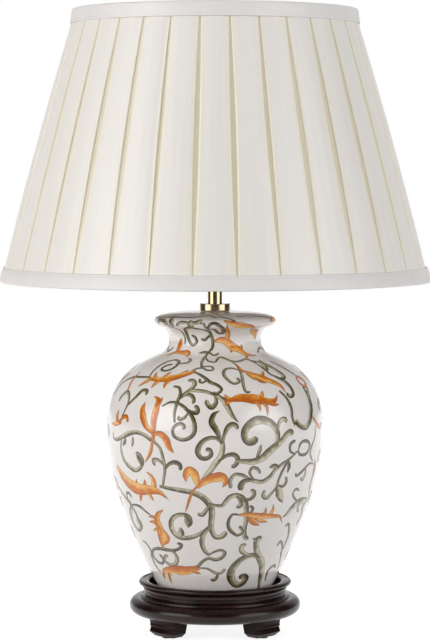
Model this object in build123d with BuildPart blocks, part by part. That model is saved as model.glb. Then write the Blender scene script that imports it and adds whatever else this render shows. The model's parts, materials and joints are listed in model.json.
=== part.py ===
from build123d import *
from math import cos, radians, sin
import os

os.makedirs("parts", exist_ok=True)

# A glazed vase on a turned wooden stand, with brass fittings and a pleated fabric shade.
# Millimetres. The lamp's axis is Z, the floor is Z = 0 and the front faces -Y.

# Clearances
slip = 0.1            # pieces of one assembly that slide together when it is put together
bearing = 0.05        # radial play of a pin or bar in its hole
running = 0.3         # faces that pass each other when a joint moves
stitch = 0.3          # fabric lying against a wire

# Directions, in degrees round the axis from +X
front = -90.0
corner = 45.0         # feet and arms stand between the front and the sides

# Felt pads, feet and foot screws
foot_count = 4
pad_thickness = 1.2
pad_radius = 4.6
foot_height = 15.9
foot_inset = 18.1     # screws inside the edge of the stand
foot_depth = 17.0     # from the inner side to the toe, at the top
heel_taper = 3.0      # how far the inner side slopes out to the sole
foot_top_width = 34.0
foot_toe_width = 33.0
foot_sole_width = 26.0
foot_corner = 3.0
toe_height = 4.0      # above the sole
toe_bevel = 4.0       # how far the sole lies inside the toe
toe_hollow = 1.7      # depth of the hollow above the toe
foot_flare = 1.0      # how far the top of the foot reaches past the toe
ridge_height = 1.9    # carved ridge across the face of the foot
ridge_recess = 0.6    # ridge inside the toe
screw_radius = 1.8
screw_head_radius = 3.4
screw_head_height = 2.6
screw_bite = 9.0      # length of screw inside the stand

# Turned stand
torus_reach = 14.9    # past the waist
torus_radius = 7.75
collar_height = 2.4   # round step between torus and waist
collar_reach = 4.6    # past the waist
collar_round = 1.8
waist_height = 7.4    # from the torus to the lip
waist_bead = 0.6
bead_pitch = 2.3
lip_step = 1.9        # lower edge of the lip past the waist
lip_flare = 4.2
lip_height = 8.9
lip_roll = 2.6
lip_groove = 1.1
lip_ridge_width = 5.4
lip_ridge_dip = 0.4   # top of the inner ridge below the lip
lip_ridge_drop = 1.7  # inner edge of that ridge below the lip
well_gap = 11.0       # round the foot of the vase
well_wall = 3.6       # from the well to the waist
well_depth = 11.5
nut_recess_gap = 5.0  # round the washer
nut_recess_depth = 12.0

# Hollow threaded rod with its washer, nut and cord bush
rod_radius = 4.9
rod_bore = 3.6
rod_tail = 1.4        # below the nut
washer_radius = 15.0
washer_thickness = 1.6
nut_width = 16.0      # across the flats
nut_height = 6.0
bush_wall = 0.7
bush_flange = 1.5
bush_sleeve = 9.0

# Vase
vase_wall = 6.0
vase_foot_radius = 52.2
vase_foot_ring = 7.0
vase_foot_recess = 3.0
vase_floor = 8.0
foot_slope = 0.5      # radius gained per height where the body leaves its foot
body_pull = 55.0      # length of the handles of the lower body's curve
belly_radius = 102.6
belly_height = 160.2  # above the foot
shoulder_pull = 43.0
shoulder_end_pull = 25.0
neck_radius = 43.2
neck_rise = 80.5      # narrowest height above the belly
neck_curve = 13.5     # radius of the hollow of the neck
neck_low_angle = 68.0
neck_high_angle = 65.0
neck_cavity_angle = 50.0   # where the cavity leaves the neck's curve
mouth_overhang = 14.8  # past the neck
mouth_bead = 4.6
mouth_top_angle = 62.0
dome_rise = 4.7
dome_pull = 8.0
rod_hole_clearance = 1.0

# Brass on the vase
gasket_radius = 13.2
gasket_thickness = 0.8
cap_radius = 14.7
cap_thickness = 6.7
cap_edge = 0.6
tube_radius = 6.9
tube_length = 31.8

# Lampholder
holder_wall = 1.2
holder_neck_wall = 3.6
holder_neck_height = 4.0
holder_boss = 6.5
rod_bite = 10.0       # length of rod inside the lampholder
grub_radius = 1.5
holder_body_height = 40.0
holder_thread = 0.4   # depth of the thread for the shade rings
holder_spigot = 5.0
holder_bead = 1.5
core_sink = 3.0       # core above the spigot's end and below the body's rim
core_floor = 8.0
core_wall = 4.0
shell_radius = 13.8
shell_wall = 0.5
contact_width = 6.0
contact_thickness = 0.6
contact_rise = 3.0
contact_foot = 9.0

# Push bar of the switch
bar_radius = 3.0
bar_gap = 1.5         # above the rod and below the body
bar_travel = 6.0
button_radius = 4.4
button_length = 5.0
button_round = 1.2

# Bulb
tip_radius = 4.5
tip_height = 1.5
insulator_height = 3.5
bulb_play = 0.2       # bulb cap in the thread shell
bulb_cap_height = 19.0
bulb_cap_wall = 0.4
glass_seat = 4.0      # neck of the glass inside its cap
glass_cement = 0.3
bulb_radius = 30.0
bulb_length = 80.0
bulb_neck_pull = 16.0
bulb_join_angle = 38.0
glass_wall = 0.9

# Shade rings and gimbal
shade_ring_flange = 8.8
shade_ring_thickness = 4.0
shade_ring_height = 16.0   # lower ring above the lampholder's cap
shade_ring_grip = 0.8
gimbal_thickness = 2.0
gimbal_rim = 1.2      # past the shade rings
ear_length = 5.7
ear_width = 10.0
ear_height = 8.0
pivot_radius = 2.0
pivot_head_radius = 4.2
pivot_head_length = 3.0
hoop_gap = 1.0        # round the ears
hoop_thickness = 2.0
hoop_height = 8.0

# Shade
shade_height = 256.8
shade_drop = 56.0     # pivots above the bottom edge
cover_bottom_radius = 203.4
cover_top_radius = 132.1
shade_bulge = 1.7
wire_radius = 1.7
arm_count = 4
arm_radius = 1.7
strut_count = 8
strut_radius = 1.5
pleat_count = 32
pleat_depth = 3.2
fabric = 0.7
groove_top = 2.0      # groove widths
groove_middle = 5.0
groove_bottom = 1.8
panel_crown = 0.7
lining = 0.8
trim_leaf = 0.8
trim_round = 1.6
top_trim_roll = 1.9   # extra thickness of the top trim at its edge
trim_height = 13.8
trim_turn_in = 11.0

# Radii that follow from each other
well_radius = vase_foot_radius + well_gap
waist_radius = well_radius + well_wall
stand_radius = waist_radius + torus_reach
lip_base_radius = waist_radius + lip_step
lip_radius = lip_base_radius + lip_flare
foot_circle = stand_radius - foot_inset
nut_recess_radius = washer_radius + nut_recess_gap
core_radius = shell_radius + slip + core_wall
body_inner_radius = core_radius + slip
spigot_radius = body_inner_radius + holder_wall
holder_body_radius = spigot_radius + holder_thread
cap_inner_radius = spigot_radius + slip
holder_cap_radius = cap_inner_radius + holder_wall
holder_neck_radius = rod_radius + holder_neck_wall
bulb_cap_radius = shell_radius - shell_wall - bulb_play
bulb_neck_radius = bulb_cap_radius - bulb_cap_wall - glass_cement
shade_ring_radius = holder_body_radius + slip + shade_ring_flange
ear_start = shade_ring_radius + running
ear_reach = ear_start + ear_length
hoop_radius = ear_reach + hoop_gap
hoop_outer = hoop_radius + hoop_thickness

# Heights, from the floor up
sole_z = pad_thickness
under_z = sole_z + foot_height
torus_top_z = under_z + 2 * torus_radius
lip_z = torus_top_z + waist_height
stand_top_z = lip_z + lip_height
vase_z = stand_top_z - well_depth
recess_z = under_z + nut_recess_depth
nut_top_z = recess_z - washer_thickness
rod_low_z = nut_top_z - nut_height - rod_tail
belly_z = vase_z + belly_height
neck_z = belly_z + neck_rise
mouth_radius = neck_radius + mouth_overhang

# Neck and mouth of the vase: a hollow arc, a straight run and a bead, each tangent to the next
neck_centre = (neck_radius + neck_curve, neck_z)
mouth_centre_radius = mouth_radius - mouth_bead
neck_high = radians(neck_high_angle)
neck_low = radians(neck_low_angle)
mouth_top = radians(mouth_top_angle)


def on_neck(curve, angle):
    """Point of the neck's hollow at an angle above the horizontal, on a circle of radius curve."""
    return (neck_centre[0] - curve * cos(angle), neck_centre[1] + curve * sin(angle))


neck_start = on_neck(neck_curve, -neck_low)
neck_end = on_neck(neck_curve, neck_high)
run = (mouth_centre_radius + mouth_bead * cos(neck_high) - neck_end[0]) / sin(neck_high)
mouth_z = neck_end[1] + run * cos(neck_high) + mouth_bead * sin(neck_high)
mouth_low = (mouth_centre_radius + mouth_bead * cos(neck_high), mouth_z - mouth_bead * sin(neck_high))
mouth_high = (mouth_centre_radius + mouth_bead * cos(mouth_top), mouth_z + mouth_bead * sin(mouth_top))
vase_top_z = mouth_high[1] + dome_rise

cap_z = vase_top_z + gasket_thickness
tube_z = cap_z + cap_thickness
holder_z = tube_z + tube_length
bar_z = holder_z + rod_bite + bar_gap + bar_radius
holder_cap_top_z = bar_z + bar_radius + bar_gap + holder_spigot
body_top_z = holder_cap_top_z + holder_body_height
core_low_z = holder_cap_top_z - holder_spigot + core_sink
core_floor_z = core_low_z + core_floor
tip_z = core_floor_z + contact_thickness + contact_rise
bulb_cap_z = tip_z + tip_height + insulator_height
glass_z = bulb_cap_z + bulb_cap_height - glass_seat
lower_ring_z = holder_cap_top_z + shade_ring_height
gimbal_z = lower_ring_z + shade_ring_thickness + running
upper_ring_z = gimbal_z + gimbal_thickness + running
pivot_z = gimbal_z + gimbal_thickness / 2
shade_z = pivot_z - shade_drop
shade_top_z = shade_z + shade_height

# Layers of the shade, as radii from the line of the wire frame
cover_in = wire_radius + stitch
cover_out = cover_in + pleat_depth + fabric
trim_out = cover_out + slip + trim_leaf
lining_out = wire_radius + stitch
lining_in = lining_out + lining
trim_in = lining_in + slip + trim_leaf
shade_slope = (cover_top_radius - cover_bottom_radius) / shade_height
bottom_wire_z = shade_z + trim_leaf + wire_radius + stitch
top_wire_z = shade_top_z - trim_leaf - wire_radius - stitch


def frame_radius(z):
    """Radius of the wire frame's cone at a height."""
    return cover_bottom_radius - cover_out + shade_slope * (z - shade_z)


def radial_plane(angle):
    """Upright plane through the lamp's axis, with x pointing out at the angle and y up."""
    a = radians(angle)
    return Plane(origin=(0, 0, 0), x_dir=(cos(a), sin(a), 0), z_dir=(sin(a), -cos(a), 0))


def facing_plane(angle, distance=0.0):
    """Upright plane square to the direction at the angle, at a distance from the axis, y up."""
    a = radians(angle)
    out = Vector(cos(a), sin(a), 0)
    return Plane(origin=out * distance, x_dir=(-sin(a), cos(a), 0), z_dir=out)


def save(piece, name):
    """Label a finished piece and write its file."""
    piece.part.label = name
    export_step(piece.part, f"parts/{name}.step")


foot_angles = [corner + 360 / foot_count * i for i in range(foot_count)]
arm_angles = [corner + 360 / arm_count * i for i in range(arm_count)]
strut_angles = [360 / strut_count * (i + 0.5) for i in range(strut_count)]
screw_points = [(foot_circle * cos(radians(a)), foot_circle * sin(radians(a))) for a in foot_angles]

# Turned stand: one outline from the recess under it, round the mouldings, to the well
torus_line = stand_radius - torus_radius
collar_z = torus_top_z + collar_height
collar_radius = waist_radius + collar_reach
bead_high_z = lip_z - 4 * waist_bead
bead_low_z = bead_high_z - bead_pitch
lip_top_radius = lip_radius - lip_roll
ridge_radius = well_radius + lip_ridge_width
with BuildPart() as wood_stand:
    with BuildSketch(Plane.XZ):
        with BuildLine():
            Polyline(
                (rod_radius + slip, vase_z),
                (rod_radius + slip, recess_z),
                (nut_recess_radius, recess_z),
                (nut_recess_radius, under_z),
                (torus_line, under_z),
            )
            ThreePointArc(
                (torus_line, under_z),
                (stand_radius, under_z + torus_radius),
                (torus_line, torus_top_z),
            )
            Polyline(
                (torus_line, torus_top_z),
                (collar_radius, torus_top_z),
                (collar_radius, collar_z - collar_round),
            )
            RadiusArc(
                (collar_radius, collar_z - collar_round),
                (collar_radius - collar_round, collar_z),
                -collar_round,
            )
            Polyline(
                (collar_radius - collar_round, collar_z),
                (waist_radius, collar_z),
                (waist_radius, bead_low_z),
            )
            for bead_z, next_z in ((bead_low_z, bead_high_z), (bead_high_z, lip_z)):
                ThreePointArc(
                    (waist_radius, bead_z),
                    (waist_radius + waist_bead, bead_z + waist_bead),
                    (waist_radius, bead_z + 2 * waist_bead),
                )
                Line((waist_radius, bead_z + 2 * waist_bead), (waist_radius, next_z))
            Line((waist_radius, lip_z), (lip_base_radius, lip_z))
            Bezier(
                (lip_base_radius, lip_z),
                (lip_base_radius, lip_z + lip_height / 2),
                (lip_radius, stand_top_z - 2 * lip_roll),
                (lip_radius, stand_top_z - lip_roll),
            )
            RadiusArc(
                (lip_radius, stand_top_z - lip_roll),
                (lip_top_radius, stand_top_z),
                -lip_roll,
            )
            Line((lip_top_radius, stand_top_z), (ridge_radius, stand_top_z - lip_groove))
            ThreePointArc(
                (ridge_radius, stand_top_z - lip_groove),
                (well_radius + lip_ridge_width / 2, stand_top_z - lip_ridge_dip),
                (well_radius, stand_top_z - lip_ridge_drop),
            )
            Polyline(
                (well_radius, stand_top_z - lip_ridge_drop),
                (well_radius, vase_z),
                (rod_radius + slip, vase_z),
            )
        make_face()
    revolve(axis=Axis.Z)
    with BuildSketch(Plane.XY.offset(under_z)):
        with Locations(*screw_points):
            Circle(screw_radius + bearing)
    extrude(amount=screw_bite + slip, mode=Mode.SUBTRACT)
save(wood_stand, "wood_stand")


def carved_foot(angle):
    """Bracket foot: a moulded section turned about the axis, cut to a tapering front outline."""
    toe = foot_circle + (foot_depth - heel_taper + toe_bevel) / 2
    ridge_z = sole_z + (toe_height + foot_height) / 2
    with BuildPart() as foot:
        with BuildSketch(radial_plane(angle)):
            with BuildLine():
                Polyline(
                    (toe - toe_bevel, sole_z),
                    (toe, sole_z + toe_height),
                    (toe - toe_hollow, ridge_z - ridge_height),
                    (toe - ridge_recess, ridge_z),
                )
                Bezier(
                    (toe - ridge_recess, ridge_z),
                    (toe - toe_hollow, ridge_z + ridge_height),
                    (toe, under_z),
                    (toe + foot_flare, under_z),
                )
                Polyline(
                    (toe + foot_flare, under_z),
                    (toe - foot_depth, under_z),
                    (toe - foot_depth + heel_taper, sole_z),
                    (toe - toe_bevel, sole_z),
                )
            make_face()
        revolve(axis=Axis.Z)
        with BuildSketch(facing_plane(angle)) as outline:
            with BuildLine():
                Polyline(
                    (-foot_top_width / 2, under_z),
                    (-foot_toe_width / 2, sole_z + toe_height),
                    (-foot_sole_width / 2, sole_z),
                    (foot_sole_width / 2, sole_z),
                    (foot_toe_width / 2, sole_z + toe_height),
                    (foot_top_width / 2, under_z),
                    close=True,
                )
            make_face()
            fillet(outline.vertices().group_by(Axis.Y)[0], radius=foot_corner)
        extrude(amount=toe + foot_flare, mode=Mode.INTERSECT)
        with BuildSketch(Plane.XY.offset(sole_z)):
            with Locations((foot_circle * cos(radians(angle)), foot_circle * sin(radians(angle)))):
                Circle(screw_radius + bearing)
        extrude(amount=foot_height, mode=Mode.SUBTRACT)
        with BuildSketch(Plane.XY.offset(sole_z)):
            with Locations((foot_circle * cos(radians(angle)), foot_circle * sin(radians(angle)))):
                Circle(screw_head_radius + bearing)
        extrude(amount=screw_head_height, mode=Mode.SUBTRACT)
    return foot


for i, angle in enumerate(foot_angles):
    save(carved_foot(angle), f"stand_foot_{i + 1}")
    with BuildPart() as felt_pad:
        with BuildSketch():
            with Locations(screw_points[i]):
                Circle(pad_radius)
        extrude(amount=pad_thickness)
    save(felt_pad, f"felt_pad_{i + 1}")

with BuildPart() as foot_screws:
    with BuildSketch(Plane.XY.offset(sole_z)):
        with Locations(*screw_points):
            Circle(screw_head_radius)
    extrude(amount=screw_head_height)
    with BuildSketch(Plane.XY.offset(sole_z + screw_head_height)):
        with Locations(*screw_points):
            Circle(screw_radius)
    extrude(amount=foot_height - screw_head_height + screw_bite)
save(foot_screws, "foot_screws")

# Rod, washer, nut and the bush that keeps the cord off the rod's edge
with BuildPart() as base_washer:
    with BuildSketch(Plane.XY.offset(nut_top_z)):
        Circle(washer_radius)
        Circle(rod_radius + slip, mode=Mode.SUBTRACT)
    extrude(amount=washer_thickness)
save(base_washer, "base_washer")

with BuildPart() as base_nut:
    with BuildSketch(Plane.XY.offset(nut_top_z - nut_height)):
        RegularPolygon(nut_width / 2, 6, major_radius=False)
        Circle(rod_radius + bearing, mode=Mode.SUBTRACT)
    extrude(amount=nut_height)
save(base_nut, "base_nut")

with BuildPart() as threaded_rod:
    with BuildSketch(Plane.XY.offset(rod_low_z)):
        Circle(rod_radius)
        Circle(rod_bore, mode=Mode.SUBTRACT)
    extrude(amount=holder_z + rod_bite - rod_low_z)
save(threaded_rod, "threaded_rod")

with BuildPart() as cord_bush:
    with BuildSketch(Plane.XY.offset(rod_low_z - bush_flange)):
        Circle(rod_radius)
        Circle(rod_bore - bearing - bush_wall, mode=Mode.SUBTRACT)
    extrude(amount=bush_flange)
    with BuildSketch(Plane.XY.offset(rod_low_z)):
        Circle(rod_bore - bearing)
        Circle(rod_bore - bearing - bush_wall, mode=Mode.SUBTRACT)
    extrude(amount=bush_sleeve)
save(cord_bush, "cord_bush")

# Vase: outer outline turned about the axis, less a cavity one wall inside it
rod_hole = rod_radius + rod_hole_clearance
foot_recess_z = vase_z + vase_foot_recess
cavity_floor_z = foot_recess_z + vase_floor
cavity_top_z = vase_top_z - vase_wall
inner_neck_start = on_neck(neck_curve + vase_wall, -neck_low)
inner_neck_end = on_neck(neck_curve + vase_wall, radians(neck_cavity_angle))
neck_run_in = (sin(neck_low), -cos(neck_low))
with BuildPart() as vase_body:
    with BuildSketch(Plane.XZ):
        with BuildLine():
            Polyline(
                (rod_hole, vase_top_z),
                (rod_hole, foot_recess_z),
                (vase_foot_radius - vase_foot_ring, foot_recess_z),
                (vase_foot_radius - vase_foot_ring, vase_z),
                (vase_foot_radius, vase_z),
            )
            Bezier(
                (vase_foot_radius, vase_z),
                (vase_foot_radius + foot_slope * body_pull, vase_z + body_pull),
                (belly_radius, belly_z - body_pull),
                (belly_radius, belly_z),
            )
            Bezier(
                (belly_radius, belly_z),
                (belly_radius, belly_z + shoulder_pull),
                (
                    neck_start[0] + neck_run_in[0] * shoulder_end_pull,
                    neck_start[1] + neck_run_in[1] * shoulder_end_pull,
                ),
                neck_start,
            )
            ThreePointArc(neck_start, on_neck(neck_curve, 0), neck_end)
            Line(neck_end, mouth_low)
            ThreePointArc(mouth_low, (mouth_radius, mouth_z), mouth_high)
            Bezier(
                mouth_high,
                (mouth_high[0] - dome_pull * sin(mouth_top), mouth_high[1] + dome_pull * cos(mouth_top)),
                (cap_radius + 2 * dome_pull, vase_top_z),
                (cap_radius, vase_top_z),
            )
            Line((cap_radius, vase_top_z), (rod_hole, vase_top_z))
        make_face()
    revolve(axis=Axis.Z)
    with BuildSketch(Plane.XZ):
        with BuildLine():
            Polyline((0, cavity_top_z), (0, cavity_floor_z), (vase_foot_radius - vase_wall, cavity_floor_z))
            Bezier(
                (vase_foot_radius - vase_wall, cavity_floor_z),
                (vase_foot_radius - vase_wall + foot_slope * body_pull, cavity_floor_z + body_pull),
                (belly_radius - vase_wall, belly_z - body_pull),
                (belly_radius - vase_wall, belly_z),
            )
            Bezier(
                (belly_radius - vase_wall, belly_z),
                (belly_radius - vase_wall, belly_z + shoulder_pull - vase_wall),
                (
                    inner_neck_start[0] + neck_run_in[0] * shoulder_end_pull,
                    inner_neck_start[1] + neck_run_in[1] * shoulder_end_pull,
                ),
                inner_neck_start,
            )
            ThreePointArc(inner_neck_start, on_neck(neck_curve + vase_wall, 0), inner_neck_end)
            Polyline(inner_neck_end, (inner_neck_end[0], cavity_top_z), (0, cavity_top_z))
        make_face()
    revolve(axis=Axis.Z, mode=Mode.SUBTRACT)
save(vase_body, "vase_body")

# Gasket, brass cap disc and brass tube on the vase
with BuildPart() as cap_gasket:
    with BuildSketch(Plane.XY.offset(vase_top_z)):
        Circle(gasket_radius)
        Circle(rod_radius + slip, mode=Mode.SUBTRACT)
    extrude(amount=gasket_thickness)
save(cap_gasket, "cap_gasket")

with BuildPart() as vase_cap:
    with BuildSketch(Plane.XY.offset(cap_z)):
        Circle(cap_radius)
        Circle(rod_radius + slip, mode=Mode.SUBTRACT)
    extrude(amount=cap_thickness)
    fillet(vase_cap.edges().filter_by(GeomType.CIRCLE).sort_by(SortBy.RADIUS)[-2:], radius=cap_edge)
save(vase_cap, "vase_cap")

with BuildPart() as spacer_tube:
    with BuildSketch(Plane.XY.offset(tube_z)):
        Circle(tube_radius)
        Circle(rod_radius + slip, mode=Mode.SUBTRACT)
    extrude(amount=tube_length)
save(spacer_tube, "spacer_tube")

# Lampholder: domed cap on the rod, body above it, with an insulating core and a thread shell inside
dome_z = holder_z + holder_neck_height
cap_wall_z = bar_z - bar_radius
with BuildPart() as holder_cap:
    with BuildSketch(Plane.XZ):
        with BuildLine():
            Polyline(
                (rod_radius + bearing, holder_z + holder_boss),
                (rod_radius + bearing, holder_z),
                (holder_neck_radius, holder_z),
                (holder_neck_radius, dome_z),
            )
            Bezier(
                (holder_neck_radius, dome_z),
                ((holder_neck_radius + holder_cap_radius) / 2, dome_z),
                (holder_cap_radius, (dome_z + cap_wall_z) / 2),
                (holder_cap_radius, cap_wall_z),
            )
            Polyline(
                (holder_cap_radius, cap_wall_z),
                (holder_cap_radius, holder_cap_top_z),
                (cap_inner_radius, holder_cap_top_z),
                (cap_inner_radius, cap_wall_z),
            )
            Bezier(
                (cap_inner_radius, cap_wall_z),
                (cap_inner_radius, (dome_z + cap_wall_z) / 2 + holder_wall),
                ((holder_neck_radius + cap_inner_radius) / 2, dome_z + holder_wall),
                (holder_neck_radius, holder_z + holder_boss),
            )
            Line(
                (holder_neck_radius, holder_z + holder_boss),
                (rod_radius + bearing, holder_z + holder_boss),
            )
        make_face()
    revolve(axis=Axis.Z)
    with BuildSketch(Plane.YZ):
        with Locations((0, bar_z)):
            Circle(bar_radius + bearing)
    extrude(amount=holder_cap_radius, both=True, mode=Mode.SUBTRACT)
    with BuildSketch(Plane.XZ):
        with Locations((0, holder_z + holder_neck_height / 2)):
            Circle(grub_radius + bearing)
    extrude(amount=-holder_neck_radius, mode=Mode.SUBTRACT)
save(holder_cap, "holder_cap")

with BuildPart() as grub_screw:
    with BuildSketch(Plane.XZ.offset(-rod_radius - bearing)):
        with Locations((0, holder_z + holder_neck_height / 2)):
            Circle(grub_radius)
    extrude(amount=rod_radius + bearing - holder_neck_radius)
save(grub_screw, "grub_screw")

with BuildPart() as holder_body:
    with BuildSketch(Plane.XZ):
        with BuildLine():
            Polyline(
                (body_inner_radius, holder_cap_top_z - holder_spigot),
                (spigot_radius, holder_cap_top_z - holder_spigot),
                (spigot_radius, holder_cap_top_z),
                (holder_cap_radius, holder_cap_top_z),
                (holder_cap_radius, holder_cap_top_z + holder_bead),
                (holder_body_radius, holder_cap_top_z + holder_bead),
                (holder_body_radius, body_top_z),
                (body_inner_radius, body_top_z),
                close=True,
            )
        make_face()
    revolve(axis=Axis.Z)
save(holder_body, "holder_body")

core_top_z = body_top_z - core_sink
with BuildPart() as holder_core:
    with BuildSketch(Plane.XY.offset(core_low_z)):
        Circle(core_radius)
    extrude(amount=core_top_z - core_low_z)
    with BuildSketch(Plane.XY.offset(core_floor_z)):
        Circle(shell_radius + slip)
    extrude(amount=core_top_z - core_floor_z, mode=Mode.SUBTRACT)
save(holder_core, "holder_core")

with BuildPart() as thread_shell:
    with BuildSketch(Plane.XY.offset(core_floor_z)):
        Circle(shell_radius)
        Circle(shell_radius - shell_wall, mode=Mode.SUBTRACT)
    extrude(amount=core_top_z - core_floor_z)
save(thread_shell, "thread_shell")

with BuildPart() as centre_contact:
    with BuildSketch(Plane.XZ.offset(-contact_width / 2)):
        with BuildLine():
            Polyline(
                (-contact_foot, core_floor_z),
                (-contact_foot / 2, core_floor_z),
                (tip_radius / 2, core_floor_z + contact_rise),
                (tip_radius / 2, tip_z),
                (-tip_radius / 2, tip_z),
                (-contact_foot / 2 - contact_thickness, core_floor_z + contact_thickness),
                (-contact_foot, core_floor_z + contact_thickness),
                close=True,
            )
        make_face()
    extrude(amount=contact_width)
save(centre_contact, "centre_contact")

# Push bar of the switch: it stands out on the right, and its travel brings it out on the left
wall_gap = running + bar_travel
bar_left = -holder_cap_radius - running
bar_right = holder_cap_radius + wall_gap
with BuildPart() as switch_bar:
    with BuildSketch(Plane.YZ.offset(bar_left)):
        with Locations((0, bar_z)):
            Circle(bar_radius)
    extrude(amount=bar_right - bar_left)
save(switch_bar, "switch_bar")


def push_button(face_x, side):
    """Round-edged button on an end of the bar; side is +1 on the right and -1 on the left."""
    with BuildPart() as button:
        with BuildSketch(Plane.YZ.offset(face_x)):
            with Locations((0, bar_z)):
                Circle(button_radius)
        extrude(amount=side * button_length)
        fillet(button.faces().sort_by(Axis.X)[-1 if side > 0 else 0].edges(), radius=button_round)
    return button


save(push_button(bar_left, -1), "switch_button_left")
save(push_button(bar_right, 1), "switch_button_right")

# Bulb
with BuildPart() as bulb_contact:
    with BuildSketch(Plane.XY.offset(tip_z)):
        Circle(tip_radius)
    extrude(amount=tip_height)
save(bulb_contact, "bulb_contact")

with BuildPart() as bulb_insulator:
    with BuildSketch(Plane.XY.offset(tip_z + tip_height)):
        Circle(tip_radius)
    with BuildSketch(Plane.XY.offset(bulb_cap_z)):
        Circle(bulb_cap_radius)
    loft(ruled=True)
save(bulb_insulator, "bulb_insulator")

with BuildPart() as bulb_cap:
    with BuildSketch(Plane.XY.offset(bulb_cap_z)):
        Circle(bulb_cap_radius)
        Circle(bulb_cap_radius - bulb_cap_wall, mode=Mode.SUBTRACT)
    extrude(amount=bulb_cap_height)
save(bulb_cap, "bulb_cap")

bulb_centre_z = glass_z + bulb_length - bulb_radius
join = radians(bulb_join_angle)


def glass_outline(inset):
    """Half outline of the bulb, from its neck to the axis, drawn in by inset."""
    radius = bulb_radius - inset
    neck = bulb_neck_radius - inset
    meet = (radius * cos(join), bulb_centre_z - radius * sin(join))
    with BuildLine() as outline:
        Bezier(
            (neck, glass_z),
            (neck, glass_z + bulb_neck_pull),
            (meet[0] - bulb_neck_pull * sin(join), meet[1] - bulb_neck_pull * cos(join)),
            meet,
        )
        ThreePointArc(meet, (radius, bulb_centre_z), (0, bulb_centre_z + radius))
        Polyline((0, bulb_centre_z + radius), (0, glass_z), (neck, glass_z))
    return outline.line


glass_outer = glass_outline(0)
glass_inner = glass_outline(glass_wall)
with BuildPart() as bulb_glass:
    with BuildSketch(Plane.XZ):
        make_face(glass_outer.edges())
        make_face(glass_inner.edges(), mode=Mode.SUBTRACT)
    revolve(axis=Axis.Z)
save(bulb_glass, "bulb_glass")


# Shade rings on the lampholder, with the gimbal ring between them
def shade_ring(z, grip_z):
    """Flat ring round the lampholder's body, with a narrower grip on its outer side."""
    with BuildPart() as ring:
        with BuildSketch(Plane.XY.offset(z)):
            Circle(shade_ring_radius)
            Circle(holder_body_radius + slip, mode=Mode.SUBTRACT)
        extrude(amount=shade_ring_thickness)
        with BuildSketch(Plane.XY.offset(grip_z)):
            Circle(shade_ring_radius)
            Circle(shade_ring_radius - shade_ring_grip, mode=Mode.SUBTRACT)
        extrude(amount=shade_ring_thickness / 2, mode=Mode.SUBTRACT)
    return ring


save(shade_ring(lower_ring_z, lower_ring_z), "lower_shade_ring")
save(shade_ring(upper_ring_z, upper_ring_z + shade_ring_thickness / 2), "upper_shade_ring")

with BuildPart() as gimbal_ring:
    with BuildSketch(Plane.XY.offset(gimbal_z)):
        Circle(ear_start + gimbal_rim)
        Circle(holder_body_radius + running, mode=Mode.SUBTRACT)
    extrude(amount=gimbal_thickness)
    with BuildSketch(Plane.XY.offset(pivot_z - ear_height / 2)):
        with Locations(((ear_start + ear_reach) / 2, 0), (-(ear_start + ear_reach) / 2, 0)):
            Rectangle(ear_reach - ear_start, ear_width)
    extrude(amount=ear_height)
    with BuildSketch(Plane.YZ):
        with Locations((0, pivot_z)):
            Circle(pivot_radius + bearing)
    extrude(amount=ear_reach, both=True, mode=Mode.SUBTRACT)
save(gimbal_ring, "gimbal_ring")

with BuildPart() as gimbal_hoop:
    with BuildSketch(Plane.XY.offset(pivot_z - hoop_height / 2)):
        Circle(hoop_outer)
        Circle(hoop_radius, mode=Mode.SUBTRACT)
    extrude(amount=hoop_height)
    with BuildSketch(Plane.YZ):
        with Locations((0, pivot_z)):
            Circle(pivot_radius + bearing)
    extrude(amount=hoop_outer, both=True, mode=Mode.SUBTRACT)
save(gimbal_hoop, "gimbal_hoop")

for angle, side in ((0, "right"), (180, "left")):
    with BuildPart() as pivot_screw:
        with BuildSketch(facing_plane(angle, ear_start)):
            with Locations((0, pivot_z)):
                Circle(pivot_radius)
        extrude(amount=hoop_outer + running - ear_start)
        with BuildSketch(facing_plane(angle, hoop_outer + running)):
            with Locations((0, pivot_z)):
                Circle(pivot_head_radius)
        extrude(amount=pivot_head_length)
    save(pivot_screw, f"pivot_screw_{side}")


# Wire frame of the shade: two rings, struts between them and arms out to the lower ring
def wire_ring(z):
    """Round wire bent to a ring of the frame's radius at a height."""
    with BuildPart() as ring:
        with BuildSketch(Plane.XZ):
            with Locations((frame_radius(z), z)):
                Circle(wire_radius)
        revolve(axis=Axis.Z)
    return ring


bottom_wire = wire_ring(bottom_wire_z)
top_wire = wire_ring(top_wire_z)
save(bottom_wire, "bottom_wire")
save(top_wire, "top_wire")


def straight_wire(start, end, radius):
    """Round wire from start to end."""
    along = Vector(*end) - Vector(*start)
    with BuildPart() as wire:
        with BuildSketch(Plane(origin=start, z_dir=along)):
            Circle(radius)
        extrude(amount=along.length)
    return wire


def polar(radius, angle, z):
    """Point at a radius and an angle round the axis."""
    return (radius * cos(radians(angle)), radius * sin(radians(angle)), z)


for i, angle in enumerate(strut_angles):
    strut_line = straight_wire(
        polar(frame_radius(bottom_wire_z), angle, bottom_wire_z),
        polar(frame_radius(top_wire_z), angle, top_wire_z),
        strut_radius,
    )
    with BuildPart() as shade_strut:
        add(strut_line.part)
        add(bottom_wire.part, mode=Mode.SUBTRACT)
        add(top_wire.part, mode=Mode.SUBTRACT)
    save(shade_strut, f"shade_strut_{i + 1}")


def arm_wire(angle, radius):
    """Wire from the middle of the hoop's wall to the middle of the lower ring."""
    return straight_wire(
        polar(hoop_radius + hoop_thickness / 2, angle, pivot_z),
        polar(frame_radius(bottom_wire_z), angle, bottom_wire_z),
        radius,
    )


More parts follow.
